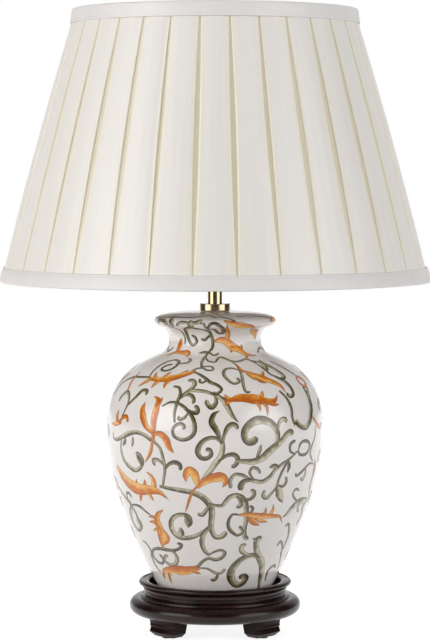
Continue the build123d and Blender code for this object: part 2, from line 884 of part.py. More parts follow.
for i, angle in enumerate(arm_angles):
    with BuildPart() as fitter_arm:
        add(arm_wire(angle, arm_radius).part)
        with BuildSketch(Plane.XY.offset(pivot_z - hoop_height)):
            Circle(hoop_outer)
        extrude(amount=2 * hoop_height, mode=Mode.SUBTRACT)
        add(bottom_wire.part, mode=Mode.SUBTRACT)
    save(fitter_arm, f"fitter_arm_{i + 1}")

# Lining: a plain cone inside the frame, from above the arms to below the top trim's turn
lining_low_z = bottom_wire_z + wire_radius + arm_radius + 2 * stitch
lining_high_z = shade_top_z - trim_leaf - stitch
with BuildPart() as shade_lining:
    with BuildSketch(Plane.XZ):
        with BuildLine():
            Polyline(
                (frame_radius(lining_low_z) - lining_out, lining_low_z),
                (frame_radius(lining_high_z) - lining_out, lining_high_z),
                (frame_radius(lining_high_z) - lining_in, lining_high_z),
                (frame_radius(lining_low_z) - lining_in, lining_low_z),
                close=True,
            )
        make_face()
    revolve(axis=Axis.Z)
save(shade_lining, "shade_lining")

# Pleated cover: panels with a slight crown and narrow grooves between them, lofted from hem to hem
cover_low_z = shade_z + trim_leaf + stitch
cover_high_z = shade_top_z - trim_leaf - stitch
free_low_z = shade_z + trim_height
free_high_z = shade_top_z - trim_height
free_height = free_high_z - free_low_z
cover_levels = [
    (cover_low_z, 0.0),
    (free_low_z, 0.0),
    (free_low_z + free_height / 3, 1 / 3),
    (free_low_z + free_height * 2 / 3, 2 / 3),
    (free_high_z, 1.0),
    (cover_high_z, 1.0),
]


def pleat_outline(z, share, inset):
    """Points round the cover at a height; share runs from 0 at the bottom trim to 1 at the top trim."""
    swell = 4 * share * (1 - share)
    groove_edge = groove_bottom + (groove_top - groove_bottom) * share
    groove = groove_edge + (groove_middle - groove_edge) * swell
    face = frame_radius(z) + cover_out + shade_bulge * swell - inset
    pitch = 360 / pleat_count
    edge = pitch / 2 - (groove / 2 + inset) / radians(face)
    floor_edge = pitch / 2 - (groove - inset) / 4 / radians(face)
    points = []
    for k in range(pleat_count):
        middle = front + k * pitch
        for radius, turn in (
            (face - pleat_depth, -floor_edge),
            (face - panel_crown, -edge),
            (face, 0),
            (face - panel_crown, edge),
            (face - pleat_depth, floor_edge),
        ):
            points.append(polar(radius, middle + turn, 0)[:2])
    return points


with BuildPart() as shade_cover:
    for z, share in cover_levels:
        with BuildSketch(Plane.XY.offset(z)):
            with BuildLine():
                Polyline(*pleat_outline(z, share, 0), close=True)
            make_face()
    loft(ruled=True)
    for z, share in cover_levels:
        with BuildSketch(Plane.XY.offset(z)):
            with BuildLine():
                Polyline(*pleat_outline(z, share, fabric), close=True)
            make_face()
    loft(ruled=True, mode=Mode.SUBTRACT)
save(shade_cover, "shade_cover")


# Trims: a channel of folded fabric over each edge of the shade
def edge_trim(edge_z, up, roll):
    """Channel whose turn lies at edge_z; up is +1 at the bottom edge and -1 at the top edge."""
    turn_z = edge_z + up * trim_leaf
    outer_z = edge_z + up * trim_height
    inner_z = edge_z + up * trim_turn_in
    with BuildPart() as trim:
        with BuildSketch(Plane.XZ) as section:
            with BuildLine():
                Polyline(
                    (frame_radius(edge_z) + trim_out + roll, edge_z),
                    (frame_radius(outer_z) + trim_out, outer_z),
                    (frame_radius(outer_z) + trim_out - trim_leaf, outer_z),
                    (frame_radius(turn_z) + trim_out - trim_leaf, turn_z),
                    (frame_radius(turn_z) - trim_in + trim_leaf, turn_z),
                    (frame_radius(inner_z) - trim_in + trim_leaf, inner_z),
                    (frame_radius(inner_z) - trim_in, inner_z),
                    (frame_radius(edge_z) - trim_in, edge_z),
                    close=True,
                )
            make_face()
            corners = section.vertices().sort_by(Axis.Y, reverse=up < 0)[:2]
            fillet(corners, radius=min(trim_round, 2 * trim_leaf))
        revolve(axis=Axis.Z)
    return trim


top_trim = edge_trim(shade_top_z, -1, top_trim_roll)
save(top_trim, "top_trim")
plain_bottom_trim = edge_trim(shade_z, 1, 0)
arm_holes = [arm_wire(angle, arm_radius + stitch).part for angle in arm_angles]
with BuildPart() as bottom_trim:
    add(plain_bottom_trim.part)
    add(arm_holes, mode=Mode.SUBTRACT)
save(bottom_trim, "bottom_trim")
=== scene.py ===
import json
import bpy
import numpy as np
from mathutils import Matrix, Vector


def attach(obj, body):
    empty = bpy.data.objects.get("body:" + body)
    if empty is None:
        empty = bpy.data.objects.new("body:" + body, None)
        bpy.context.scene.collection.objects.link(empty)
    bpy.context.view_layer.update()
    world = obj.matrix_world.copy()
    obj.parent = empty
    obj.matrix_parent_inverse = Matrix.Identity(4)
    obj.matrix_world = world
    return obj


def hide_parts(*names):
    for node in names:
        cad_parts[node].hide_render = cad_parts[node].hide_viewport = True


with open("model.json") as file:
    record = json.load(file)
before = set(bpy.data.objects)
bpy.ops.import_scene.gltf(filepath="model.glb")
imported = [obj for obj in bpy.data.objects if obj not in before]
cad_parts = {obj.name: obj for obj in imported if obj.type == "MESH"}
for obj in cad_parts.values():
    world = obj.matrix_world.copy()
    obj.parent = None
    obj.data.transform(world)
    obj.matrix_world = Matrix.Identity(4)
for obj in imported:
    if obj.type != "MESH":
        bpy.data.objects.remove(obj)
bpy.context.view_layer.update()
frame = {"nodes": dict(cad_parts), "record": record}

# Shapes are worked out in millimetres in the lamp's frame: axis Z, floor Z = 0, front -Y.
MM = 0.001
TAU = 2 * np.pi
FRONT = -np.pi / 2

# Stand: heights, radii, then the roundings and steps of its mouldings
STAND_UNDER, RECESS, TORUS_TOP, COLLAR_TOP = 17.1, 29.1, 32.6, 35.0
WELL_FLOOR, LIP_LOW, STAND_TOP = 37.4, 40.0, 48.9
ROD_HOLE_R, RECESS_R, WELL_R, WAIST_R, COLLAR_R, LIP_R = 5.0, 20.0, 63.2, 66.8, 71.4, 72.9
STAND_R, TORUS_R, BEAD_R, BEAD_DROPS = 81.7, 7.75, 0.6, (4.1, 1.8)
COLLAR_ROUND, LIP_ROUND, LIP_STEP, LIP_COVE = 1.8, 2.6, 1.9, 4.45
WELL_EDGE = ((5.4, 1.1), (4, 0.3), (2, 0.2), (0, 1.7))  # curve: out from the well and down from the top

# Vase: the neck is a hollow arc and the rim a round one, between the curves of side, shoulder and dome
VASE_FOOT, VASE_TOP, VASE_HOLE, CAP_R = 37.4, 305.294, 5.9, 14.7
FOOT_R, BELLY_R, BELLY_Z = 52.2, 102.6, 197.6
FOOT_RING = ((-8, 3), (-7, 0.6), (-6, 0), (-0.6, 0))  # out from the foot's edge and up from the foot
NECK_CENTRE_R, NECK_RISE, NECK_ROUND = 56.7, 80.5, 13.5
RIM_CENTRE_R, RIM_ROUND = 53.4, 4.6
NECK_LOW, NECK_HIGH, RIM_END = 68, 65, 62  # degrees from level at which the arcs pass into the next curve
FOOT_FLARE, SIDE_PULL, BELLY_PULL, SHOULDER_PULL, RIM_PULL, CAP_PULL = 27.5, 55, 43, 25.0, 8, 16

# Shade, as offsets from the line of its wire frame
SHADE_LOW, SHADE_HIGH = 333.894, 590.694
COVER_LOW_R, COVER_HIGH_R = 203.4, 132.1
COVER_OUT, LINING_OUT, LINING_IN, TRIM_OUT, TRIM_IN = 5.9, 2.0, 2.8, 6.8, 3.7
TRIM_LEAF, TRIM_HEIGHT, TRIM_TURN_IN, HEM_GAP = 0.8, 13.8, 11.0, 1.1
LINING_LOW, PLEATS = 340.694, 32

# Felt pads
PAD_R, PAD_THICK, PAD_CIRCLE = 4.6, 1.2, 63.6

dice = np.random.default_rng(7)


def frame_radius(z):
    """Radius of the wire frame's cone at a height: a straight line between hem and hem."""
    slope = (COVER_HIGH_R - COVER_LOW_R) / (SHADE_HIGH - SHADE_LOW)
    return COVER_LOW_R - COVER_OUT + slope * (z - SHADE_LOW)


def bezier(a, b, c, d, count):
    """Cubic curve: the four points weighted by the Bernstein polynomials."""
    t = np.linspace(0, 1, count)[:, None]
    a, b, c, d = (np.array(p, float) for p in (a, b, c, d))
    return a * (1 - t) ** 3 + 3 * b * t * (1 - t) ** 2 + 3 * c * t * t * (1 - t) + d * t ** 3


def arc(centre, radius, start, end, count):
    """Part of a circle, from start to end in degrees."""
    a = np.radians(np.linspace(start, end, count))
    return np.stack([centre[0] + radius * np.cos(a), centre[1] + radius * np.sin(a)], axis=1)


def walked(line):
    """Lengths along a line of points, from its start to each of them."""
    return np.concatenate([[0], np.cumsum(np.linalg.norm(np.diff(line, axis=0), axis=1))])


def read_off(at, known, line):
    """Both columns of a line of points, read off between its known places."""
    return [np.interp(at, known, line[:, i]) for i in (0, 1)]


def softened(outline, step, spread):
    """Closed outline walked at an even step and averaged over a short spread, which rounds its corners."""
    closed = np.vstack([outline, outline[:1]])
    walk = walked(closed)
    even = np.stack(read_off(np.arange(0, walk[-1], step), walk, closed), axis=1)
    reach = int(np.ceil(3 * spread / step))
    shifts = np.arange(-reach, reach + 1)
    weights = np.exp(-0.5 * (shifts * step / spread) ** 2)
    weights /= weights.sum()
    index = (np.arange(len(even))[:, None] + shifts[None, :]) % len(even)
    return (even[index] * weights[None, :, None]).sum(axis=1)


def thinned(outline, count, straight=0.03):
    """Closed outline with its points placed by how much it turns: close in bends, far apart on straights."""
    closed = np.vstack([outline, outline[:1]])
    step = np.diff(closed, axis=0)
    way = np.arctan2(step[:, 1], step[:, 0])
    bend = np.abs((np.roll(way, -1) - way + np.pi) % TAU - np.pi)
    at = np.concatenate([[0], np.cumsum(bend + straight * np.linalg.norm(step, axis=1))])
    even = np.linspace(0, at[-1], count, endpoint=False)
    return np.stack(read_off(even, at, closed), axis=1)


def grid_quads(rows, columns, close_rows, close_columns):
    """Corner numbers of the quads of a grid of points, joined up at the ends where it is closed."""
    r = np.arange(rows if close_rows else rows - 1)
    c = np.arange(columns if close_columns else columns - 1)
    r, c = np.meshgrid(r, c, indexing="ij")
    r2, c2 = (r + 1) % rows, (c + 1) % columns
    quads = np.stack([r * columns + c, r * columns + c2, r2 * columns + c2, r2 * columns + c], axis=-1)
    return quads.reshape(-1, 4)


def round_axis(r, a, z):
    """Points at a radius, a turn and a height."""
    return np.stack(np.broadcast_arrays(r * np.cos(a), r * np.sin(a), z), axis=-1)


def turned(outline, segments):
    """Closed outline of radius and height carried round the axis: points and quads."""
    a = np.linspace(0, TAU, segments, endpoint=False)
    points = round_axis(outline[:, :1], a, outline[:, 1:])
    return points.reshape(-1, 3), grid_quads(len(outline), segments, True, True)


def new_piece(name, points, quads, material, body, slot, attributes=None):
    """Smooth mesh of points in millimetres and quads, with its material, body and attributes; the slot is not
    used.
    """
    mesh = bpy.data.meshes.new(name)
    mesh.vertices.add(len(points))
    mesh.vertices.foreach_set("co", (points * MM).astype(np.float32).ravel())
    mesh.loops.add(quads.size)
    mesh.loops.foreach_set("vertex_index", quads.astype(np.int32).ravel())
    mesh.polygons.add(len(quads))
    mesh.polygons.foreach_set("loop_start", np.arange(0, quads.size, 4, dtype=np.int32))
    mesh.polygons.foreach_set("use_smooth", np.ones(len(quads), bool))
    mesh.update(calc_edges=True)
    for key, values in (attributes or {}).items():
        layer = mesh.attributes.new(key, "FLOAT_VECTOR", "POINT")
        layer.data.foreach_set("vector", values.astype(np.float32).ravel())
    mesh.validate()
    mesh.materials.append(material)
    piece = bpy.data.objects.new(name, mesh)
    bpy.context.scene.collection.objects.link(piece)
    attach(piece, body)
    return piece


# Colours and shader parts

def srgb(r, g, b):
    """Linear colour of a display colour given from 0 to 255."""
    c = np.array([r, g, b]) / 255
    c = np.where(c <= 0.04045, c / 12.92, ((c + 0.055) / 1.055) ** 2.4)
    return (float(c[0]), float(c[1]), float(c[2]), 1.0)


class Nodes:
    """A node tree with short calls to add and link nodes."""

    def __init__(self, tree):
        self.tree = tree

    def add(self, kind, **settings):
        node = self.tree.nodes.new(kind)
        for key, value in settings.items():
            setattr(node, key, value)
        return node

    def link(self, source, target):
        self.tree.links.new(source, target)

    def feed(self, socket, value):
        """Input linked to an output or set to a constant."""
        if isinstance(value, bpy.types.NodeSocket):
            self.link(value, socket)
        else:
            socket.default_value = value

    def math(self, operation, a, b=0.0):
        node = self.add("ShaderNodeMath", operation=operation)
        self.feed(node.inputs[0], a)
        self.feed(node.inputs[1], b)
        return node.outputs[0]

    def plus(self, a, b):
        return self.math("ADD", a, b)

    def minus(self, a, b):
        return self.math("SUBTRACT", a, b)

    def times(self, a, b):
        return self.math("MULTIPLY", a, b)

    def span(self, value, low, high, to_low=0.0, to_high=1.0):
        """Value carried from one span to another by a smooth step."""
        node = self.add("ShaderNodeMapRange", interpolation_type="SMOOTHSTEP")
        for socket, v in zip(node.inputs, (value, low, high, to_low, to_high)):
            self.feed(socket, v)
        return node.outputs[0]

    def mix(self, share, a, b):
        """Colour between two by a share; a Mix node's colours are its inputs 6 and 7 and its output 2."""
        node = self.add("ShaderNodeMix", data_type="RGBA")
        self.feed(node.inputs[0], share)
        self.feed(node.inputs[6], a)
        self.feed(node.inputs[7], b)
        return node.outputs[2]

    def stretched(self, vector, scale):
        node = self.add("ShaderNodeMapping")
        self.link(vector, node.inputs["Vector"])
        node.inputs["Scale"].default_value = scale
        return node.outputs["Vector"]

    def place(self, scale=(1, 1, 1)):
        """Object coordinates times a scale."""
        return self.stretched(self.add("ShaderNodeTexCoord").outputs["Object"], scale)

    def noise(self, vector, scale, detail=3.0, roughness=0.5):
        node = self.add("ShaderNodeTexNoise")
        self.feed(node.inputs["Vector"], vector)
        self.feed(node.inputs["Scale"], scale)
        self.feed(node.inputs["Detail"], detail)
        self.feed(node.inputs["Roughness"], roughness)
        return node.outputs["Fac"]

    def bump(self, height, strength, distance):
        node = self.add("ShaderNodeBump")
        node.inputs["Strength"].default_value = strength
        node.inputs["Distance"].default_value = distance
        self.link(height, node.inputs["Height"])
        return node.outputs["Normal"]

    def own(self, name):
        """The three values of the piece's own measure."""
        node = self.add("ShaderNodeAttribute", attribute_name=name)
        split = self.add("ShaderNodeSeparateXYZ")
        self.link(node.outputs["Vector"], split.inputs[0])
        return split.outputs[0], split.outputs[1], split.outputs[2]

    def group(self, tree, **values):
        """Outputs of a shared group whose named inputs are fed."""
        node = self.add("ShaderNodeGroup", node_tree=tree)
        for name, value in values.items():
            self.feed(node.inputs[name], value)
        return node.outputs


VALUE, VECTOR, COLOUR = "NodeSocketFloat", "NodeSocketVector", "NodeSocketColor"
ORIGIN = (0, 0, 0)
GREY = (0.5, 0.5, 0.5, 1)
WHITE = (1, 1, 1, 1)


def shader_group(name, inputs, outputs):
    """Empty node group with the named sockets; returns its node helper, its inputs and its outputs."""
    tree = bpy.data.node_groups.new(name, "ShaderNodeTree")
    for label, kind, value in inputs:
        socket = tree.interface.new_socket(label, in_out="INPUT", socket_type=kind)
        socket.default_value = value
    for label, kind in outputs:
        tree.interface.new_socket(label, in_out="OUTPUT", socket_type=kind)
    n = Nodes(tree)
    return n, n.add("NodeGroupInput").outputs, n.add("NodeGroupOutput").inputs


def mottling_group():
    """Clouds of two sizes that darken and lighten a colour by a strength, and grit as finer noise."""
    n, given, out = shader_group(
        "mottling",
        [("Vector", VECTOR, ORIGIN), ("Colour", COLOUR, GREY),
         ("Strength", VALUE, 0.1), ("Scale", VALUE, 20.0)],
        [("Colour", COLOUR), ("Cloud", VALUE), ("Grit", VALUE)])
    at, scale = given["Vector"], given["Scale"]
    fine = n.noise(at, n.times(scale, 7.3), detail=2.0)
    cloud = n.plus(n.times(n.noise(at, scale), 0.7), n.times(fine, 0.3))
    swing = n.times(n.minus(cloud, 0.5), n.times(given["Strength"], 4.0))
    tone = n.add("ShaderNodeVectorMath", operation="SCALE")
    n.link(given["Colour"], tone.inputs[0])
    n.link(n.plus(1.0, swing), tone.inputs["Scale"])
    n.link(tone.outputs[0], out["Colour"])
    n.link(cloud, out["Cloud"])
    n.link(n.noise(at, n.times(scale, 9.0)), out["Grit"])
    return n.tree


def weave_group():
    """Plain weave: two sets of threads as sine ridges that pass over and under each other."""
    n, given, out = shader_group(
        "plain_weave",
        [("Across", VALUE, 0.0), ("Along", VALUE, 0.0), ("Pitch", VALUE, 0.5)],
        [("Height", VALUE)])

    def ridges(position):
        return n.math("SINE", n.math("DIVIDE", n.times(position, TAU), given["Pitch"]))

    over = n.times(ridges(given["Across"]), ridges(given["Along"]))
    n.link(n.plus(n.times(over, 0.5), 0.5), out["Height"])
    return n.tree


def grain_group():
    """Wood: noise stretched along the height as grain between a dark and a light colour, with fine pores."""
    n, given, out = shader_group(
        "wood_grain",
        [("Vector", VECTOR, ORIGIN), ("Dark", COLOUR, GREY), ("Light", COLOUR, GREY), ("Pore", COLOUR, GREY)],
        [("Colour", COLOUR), ("Grain", VALUE), ("Height", VALUE)])
    grain = n.noise(n.stretched(given["Vector"], (1, 1, 6)), 55.0, detail=6.0, roughness=0.62)
    pores = n.noise(n.stretched(given["Vector"], (1, 1, 9)), 420.0, detail=2.0)
    tone = n.mix(n.span(grain, 0.35, 0.7), given["Dark"], given["Light"])
    n.link(n.mix(n.span(pores, 0.52, 0.7, to_high=0.45), tone, given["Pore"]), out["Colour"])
    n.link(grain, out["Grain"])
    n.link(n.plus(grain, n.times(pores, 0.5)), out["Height"])
    return n.tree


def waves_group():
    """Slow waves of a glazed surface: noise of a few centimetres."""
    n, given, out = shader_group("glaze_waves", [("Vector", VECTOR, ORIGIN)], [("Height", VALUE)])
    n.link(n.noise(given["Vector"], 28.0, detail=2.0), out["Height"])
    return n.tree


def paint_group():
    """Brushed colour: a dark outline of even breadth, deeper outside a bend and paler inside it.

    Wide strokes grow paler in their middle than thin ones, and the wash of the colour is uneven.
    """
    colours = [(label, COLOUR, GREY) for label in ("Outline", "Deep", "Body", "Light")]
    n, given, out = shader_group(
        "brushed_paint",
        [("Vector", VECTOR, ORIGIN),
         ("Across", VALUE, 0.0), ("Half", VALUE, 1.0), ("Tone", VALUE, 0.5), *colours],
        [("Colour", COLOUR)])
    at, across, half = given["Vector"], given["Across"], given["Half"]
    wash = n.times(n.minus(n.noise(at, 130.0, roughness=0.6), 0.5), 2.4)
    side = n.plus(n.plus(across, wash), n.minus(given["Tone"], 0.5))
    colour = n.mix(n.span(side, -0.9, 0.1), given["Deep"], given["Body"])
    pale = n.times(n.span(side, -0.1, 0.9), n.span(half, 0.9, 2.6, 0.25, 1.0))
    colour = n.mix(pale, colour, given["Light"])
    uneven = n.times(n.minus(n.noise(at, 420.0, detail=2.0), 0.5), 0.6)
    inset = n.plus(n.times(n.minus(1.0, n.math("ABSOLUTE", across)), half), uneven)
    n.link(n.mix(n.span(inset, 0.2, 0.85, 0.85, 0.0), colour, given["Outline"]), out["Colour"])
    return n.tree


MOTTLING = mottling_group()
WEAVE = weave_group()
GRAIN = grain_group()
WAVES = waves_group()
BRUSHED = paint_group()
WEAVE_PITCH = 0.9  # millimetres
STITCH_ROW, STITCH_PITCH = 11.2, 3.2  # millimetres from a binding's fold, and along it
SATIN = {"Specular IOR Level": 0.9}
CLEAR_COAT = {"Coat Weight": 0.5, "Coat Roughness": 0.08}


# Finishes

def new_material(name, roughness, **constants):
    """Material with a Principled shader; constants are set on the shader's own sockets."""
    material = bpy.data.materials.new(name)
    material.use_nodes = True
    n = Nodes(material.node_tree)
    shader = material.node_tree.nodes["Principled BSDF"]
    shader.inputs["Roughness"].default_value = roughness
    for key, value in constants.items():
        shader.inputs[key].default_value = value
    return material, n, shader.inputs


def plain_finish(name, colour, roughness, strength=0.05, scale=60.0, bump=0.05, **constants):
    """Solid finish with a little cloudiness in colour and roughness and a fine uneven surface."""
    material, n, shader = new_material(name, roughness, **constants)
    made = n.group(MOTTLING, Vector=n.place(), Colour=colour, Strength=strength, Scale=scale)
    n.link(made["Colour"], shader["Base Color"])
    n.link(n.span(made["Cloud"], 0.3, 0.7, max(roughness - 0.06, 0.02), roughness + 0.08), shader["Roughness"])
    n.link(n.bump(made["Grit"], bump, distance=0.0002), shader["Normal"])
    return material


def dark_wood_finish(name, coat, gloss):
    """Nearly black reddish lacquered wood, redder along the grain's light lines."""
    material, n, shader = new_material(
        name, 0.2, **{"Coat Weight": coat, "Coat Roughness": 0.08, "Specular IOR Level": gloss})
    wood = n.group(GRAIN, Vector=n.place(), Dark=srgb(24, 10, 10), Light=srgb(44, 21, 20), Pore=srgb(14, 8, 8))
    n.link(wood["Colour"], shader["Base Color"])
    n.link(n.span(wood["Grain"], 0.3, 0.7, 0.2, 0.34), shader["Roughness"])
    n.link(n.bump(wood["Height"], strength=0.06, distance=0.0004), shader["Normal"])
    return material


def glazed(name, roughness):
    """Start of a finish under a clear, slightly wavy glaze; also returns the place that its colours go by."""
    material, n, shader = new_material(name, roughness, **CLEAR_COAT)
    at = n.place()
    waves = n.group(WAVES, Vector=at)["Height"]
    n.link(n.bump(waves, strength=0.12, distance=0.0012), shader["Normal"])
    return material, n, shader, at


def glaze_finish():
    """Pale grey-white glaze with faint clouds and tiny specks."""
    material, n, shader, at = glazed("pale_glaze", 0.12)
    made = n.group(MOTTLING, Vector=at, Colour=srgb(231, 226, 222), Strength=0.03, Scale=16.0)
    specks = n.noise(at, 900.0, detail=1.0)
    tone = n.mix(n.span(specks, 0.72, 0.8, to_high=0.25), made["Colour"], srgb(150, 142, 130))
    n.link(tone, shader["Base Color"])
    n.link(n.span(made["Cloud"], 0.3, 0.7, 0.1, 0.18), shader["Roughness"])
    return material


def paint_finish(name, outline, deep, body, light):
    """Brushed colour under glaze, read by a ribbon's own measure."""
    material, n, shader, at = glazed(name, 0.1)
    across, half, tone = n.own("paint")
    made = n.group(BRUSHED, Vector=at, Across=across, Half=half, Tone=tone,
                   Outline=outline, Deep=deep, Body=body, Light=light)
    n.link(made["Colour"], shader["Base Color"])
    return material


def brass_finish():
    """Polished brass with slightly browner patches and fine turning lines."""
    material, n, shader = new_material("polished_brass", 0.08, Metallic=1.0)
    made = n.group(MOTTLING, Vector=n.place(), Colour=srgb(192, 172, 140), Strength=0.03, Scale=70.0)
    lines = n.noise(n.place((0.2, 0.2, 30)), 90.0)
    dull = n.plus(made["Cloud"], n.times(lines, 0.3))
    n.link(made["Colour"], shader["Base Color"])
    n.link(n.span(dull, 0.4, 0.9, 0.05, 0.12), shader["Roughness"])
    n.link(n.bump(lines, strength=0.02, distance=0.00005), shader["Normal"])
    return material


def pleat_finish():
    """Ivory cloth read by its own measure: millimetres across a pleat, height and share of the half pleat.

    Streaks down the panels are painted light and shade of soft waves in the cloth, the panel edges are painted
    creamier as light at the folds, the groove floors are painted darker and yellower as shade, and a plain
    weave gives the surface.
    """
    material, n, shader = new_material("ivory_pleats", 0.38, **SATIN)
    across, along, share = n.own("cloth")
    ivory, painted_wave_light = srgb(233, 230, 226), srgb(239, 234, 225)
    painted_fold_light, painted_groove_shade = srgb(238, 230, 210), srgb(216, 208, 180)
    made = n.group(MOTTLING, Vector=n.place((1, 1, 0.25)), Colour=ivory, Strength=0.02, Scale=45.0)
    flat = n.add("ShaderNodeCombineXYZ")
    n.link(across, flat.inputs["X"])
    n.link(n.times(along, 0.03), flat.inputs["Y"])
    # Streaks down the panels: painted light and shade of soft waves in the cloth
    wave_shade_bands = n.noise(flat.outputs[0], 0.16, detail=2.0)
    tone = n.mix(n.span(wave_shade_bands, 0.3, 0.7, to_high=0.7), made["Colour"], painted_wave_light)
    # Painted light: the panel edges turn creamier towards the folds
    tone = n.mix(n.span(share, 0.62, 1.0, to_high=0.5), tone, painted_fold_light)
    # Painted shade: the groove floors turn darker and yellower
    tone = n.mix(n.span(share, 1.02, 1.3, to_high=0.9), tone, painted_groove_shade)
    n.link(tone, shader["Base Color"])
    threads = n.group(WEAVE, Across=across, Along=along, Pitch=WEAVE_PITCH)["Height"]
    slubs = n.noise(n.place((1, 1, 0.15)), 380.0, detail=2.0)
    n.link(n.bump(n.plus(threads, n.times(slubs, 1.2)), strength=0.18, distance=0.0003), shader["Normal"])
    return material


def strip_finish():
    """Ivory binding read by millimetres round and across the strip, with stitches by its free edge."""
    material, n, shader = new_material("ivory_binding", 0.4, **SATIN)
    around, up, outside = n.own("cloth")
    made = n.group(MOTTLING, Vector=n.place(), Colour=srgb(228, 225, 223), Strength=0.03, Scale=60.0)
    off_row = n.math("ABSOLUTE", n.minus(up, STITCH_ROW))
    row = n.minus(1.0, n.span(off_row, 0.1, 0.55))
    gaps = n.span(n.math("SINE", n.times(around, TAU / STITCH_PITCH)), -0.9, -0.5)
    stitches = n.times(n.times(row, gaps), outside)
    n.link(n.mix(n.times(stitches, 0.25), made["Colour"], srgb(190, 182, 170)), shader["Base Color"])
    threads = n.group(WEAVE, Across=around, Along=up, Pitch=WEAVE_PITCH)["Height"]
    n.link(n.bump(n.minus(threads, n.times(stitches, 2.0)), strength=0.25, distance=0.0003), shader["Normal"])
    return material


WOOD = dark_wood_finish("dark_wood_lacquer", 0.28, 0.2)
FOOT_WOOD = dark_wood_finish("dark_wood_feet", 0.05, 0.08)
GLAZE = glaze_finish()
BRASS = brass_finish()
PLEATS_CLOTH = pleat_finish()
BINDING = strip_finish()
FINISHES = {
    "dark_wood": WOOD,
    "felt": plain_finish("brown_felt", srgb(70, 60, 48), 0.95, 0.2, 300.0, 0.6),
    "zinc_steel": plain_finish("zinc_steel", srgb(190, 190, 186), 0.32, 0.08, 120.0, Metallic=1.0),
    "black_plastic": plain_finish("black_moulding", srgb(32, 31, 30), 0.4, 0.06, 200.0, 0.15),
    "glazed_ceramic": GLAZE,
    "rubber": plain_finish("grey_rubber", srgb(176, 171, 164), 0.7, 0.05, 150.0, 0.3),
    "polished_brass": BRASS,
    "white_insulator": plain_finish("white_insulator", srgb(226, 223, 214), 0.5, 0.05, 90.0, 0.2),
    "contact_metal": plain_finish("contact_metal", srgb(205, 178, 126), 0.35, 0.08, 110.0, Metallic=1.0),
    "bulb_cap_metal": plain_finish("bulb_cap_metal", srgb(208, 207, 202), 0.28, 0.06, 130.0, Metallic=1.0),
    "bulb_insulator_glass": plain_finish("bulb_insulator", srgb(26, 25, 24), 0.15, 0.05, 100.0),
    "opal_glass": plain_finish(
        "opal_glass", srgb(240, 238, 232), 0.18, 0.02, 40.0, 0.02, **{"Coat Weight": 0.4}),
    "white_wire": plain_finish("white_coated_wire", srgb(228, 225, 216), 0.45, 0.05, 120.0, 0.2),
    "lining_fabric": plain_finish(
        "lining_cloth", srgb(232, 229, 222), 0.85, 0.03, 70.0, 0.2, **{"Sheen Weight": 0.15}),
    "ivory_fabric": PLEATS_CLOTH,
    "trim_fabric": BINDING,
}
slots = {entry["node"]: entry["material_slot"] for entry in frame["record"]["subparts"]}
for node, solid in frame["nodes"].items():
    solid.data.materials.clear()
    solid.data.materials.append(FOOT_WOOD if node.startswith("stand_foot") else FINISHES[slots[node]])


# Stand and vase

def stand_outline():
    """Mouldings of the stand from the rod's hole, under it and up its outside to the well."""
    lip_foot = (WAIST_R + LIP_STEP, LIP_LOW)
    cove_pull = (WAIST_R + LIP_STEP, LIP_LOW + LIP_COVE)
    lip_pull = (LIP_R, STAND_TOP - 2 * LIP_ROUND)
    lip_side = (LIP_R, STAND_TOP - LIP_ROUND)
    well_edge = [(WELL_R + out, STAND_TOP - down) for out, down in WELL_EDGE]
    return np.vstack([
        [(ROD_HOLE_R, WELL_FLOOR), (ROD_HOLE_R, RECESS), (RECESS_R, RECESS), (RECESS_R, STAND_UNDER)],
        arc((STAND_R - TORUS_R, STAND_UNDER + TORUS_R), TORUS_R, -90, 90, 40),
        [(COLLAR_R, TORUS_TOP)],
        arc((COLLAR_R - COLLAR_ROUND, COLLAR_TOP - COLLAR_ROUND), COLLAR_ROUND, 0, 90, 8),
        [(WAIST_R, COLLAR_TOP)],
        *(arc((WAIST_R, LIP_LOW - drop), BEAD_R, -90, 90, 9) for drop in BEAD_DROPS),
        [(WAIST_R, LIP_LOW), lip_foot],
        bezier(lip_foot, cove_pull, lip_pull, lip_side, 20),
        arc((LIP_R - LIP_ROUND, STAND_TOP - LIP_ROUND), LIP_ROUND, 0, 90, 12),
        bezier(*well_edge, 12),
        [(WELL_R, WELL_FLOOR)],
    ])


def vase_outer():
    """Outside of the vase from its foot to the brass cap: curves and arcs, each tangent to the next."""
    neck = np.array((NECK_CENTRE_R, BELLY_Z + NECK_RISE))
    low, high, end = np.radians((NECK_LOW, NECK_HIGH, RIM_END))
    neck_start = neck - NECK_ROUND * np.array((np.cos(low), np.sin(low)))
    neck_end = neck + NECK_ROUND * np.array((-np.cos(high), np.sin(high)))
    run = (RIM_CENTRE_R + RIM_ROUND * np.cos(high) - neck_end[0]) / np.sin(high)
    rim = np.array((RIM_CENTRE_R, neck_end[1] + run * np.cos(high) + RIM_ROUND * np.sin(high)))
    rim_end = rim + RIM_ROUND * np.array((np.cos(end), np.sin(end)))
    shoulder_pull = neck_start + SHOULDER_PULL * np.array((np.sin(low), -np.cos(low)))
    rim_pull = rim_end + RIM_PULL * np.array((-np.sin(end), np.cos(end)))
    foot, foot_pull = (FOOT_R, VASE_FOOT), (FOOT_R + FOOT_FLARE, VASE_FOOT + SIDE_PULL)
    belly = (BELLY_R, BELLY_Z)
    return np.vstack([
        bezier(foot, foot_pull, (BELLY_R, BELLY_Z - SIDE_PULL), belly, 70)[:-1],
        bezier(belly, (BELLY_R, BELLY_Z + BELLY_PULL), shoulder_pull, neck_start, 50)[:-1],
        arc(neck, NECK_ROUND, 180 + NECK_LOW, 180 - NECK_HIGH, 26),
        arc(rim, RIM_ROUND, -NECK_HIGH, RIM_END, 22)[:-1],
        bezier(rim_end, rim_pull, (CAP_R + CAP_PULL, VASE_TOP), (CAP_R, VASE_TOP), 24),
    ])


stand_section = thinned(softened(stand_outline(), step=0.1, spread=0.16), count=320)
stand = new_piece("turned_stand", *turned(stand_section, segments=240), WOOD, "base", "dark_wood")
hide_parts("wood_stand")

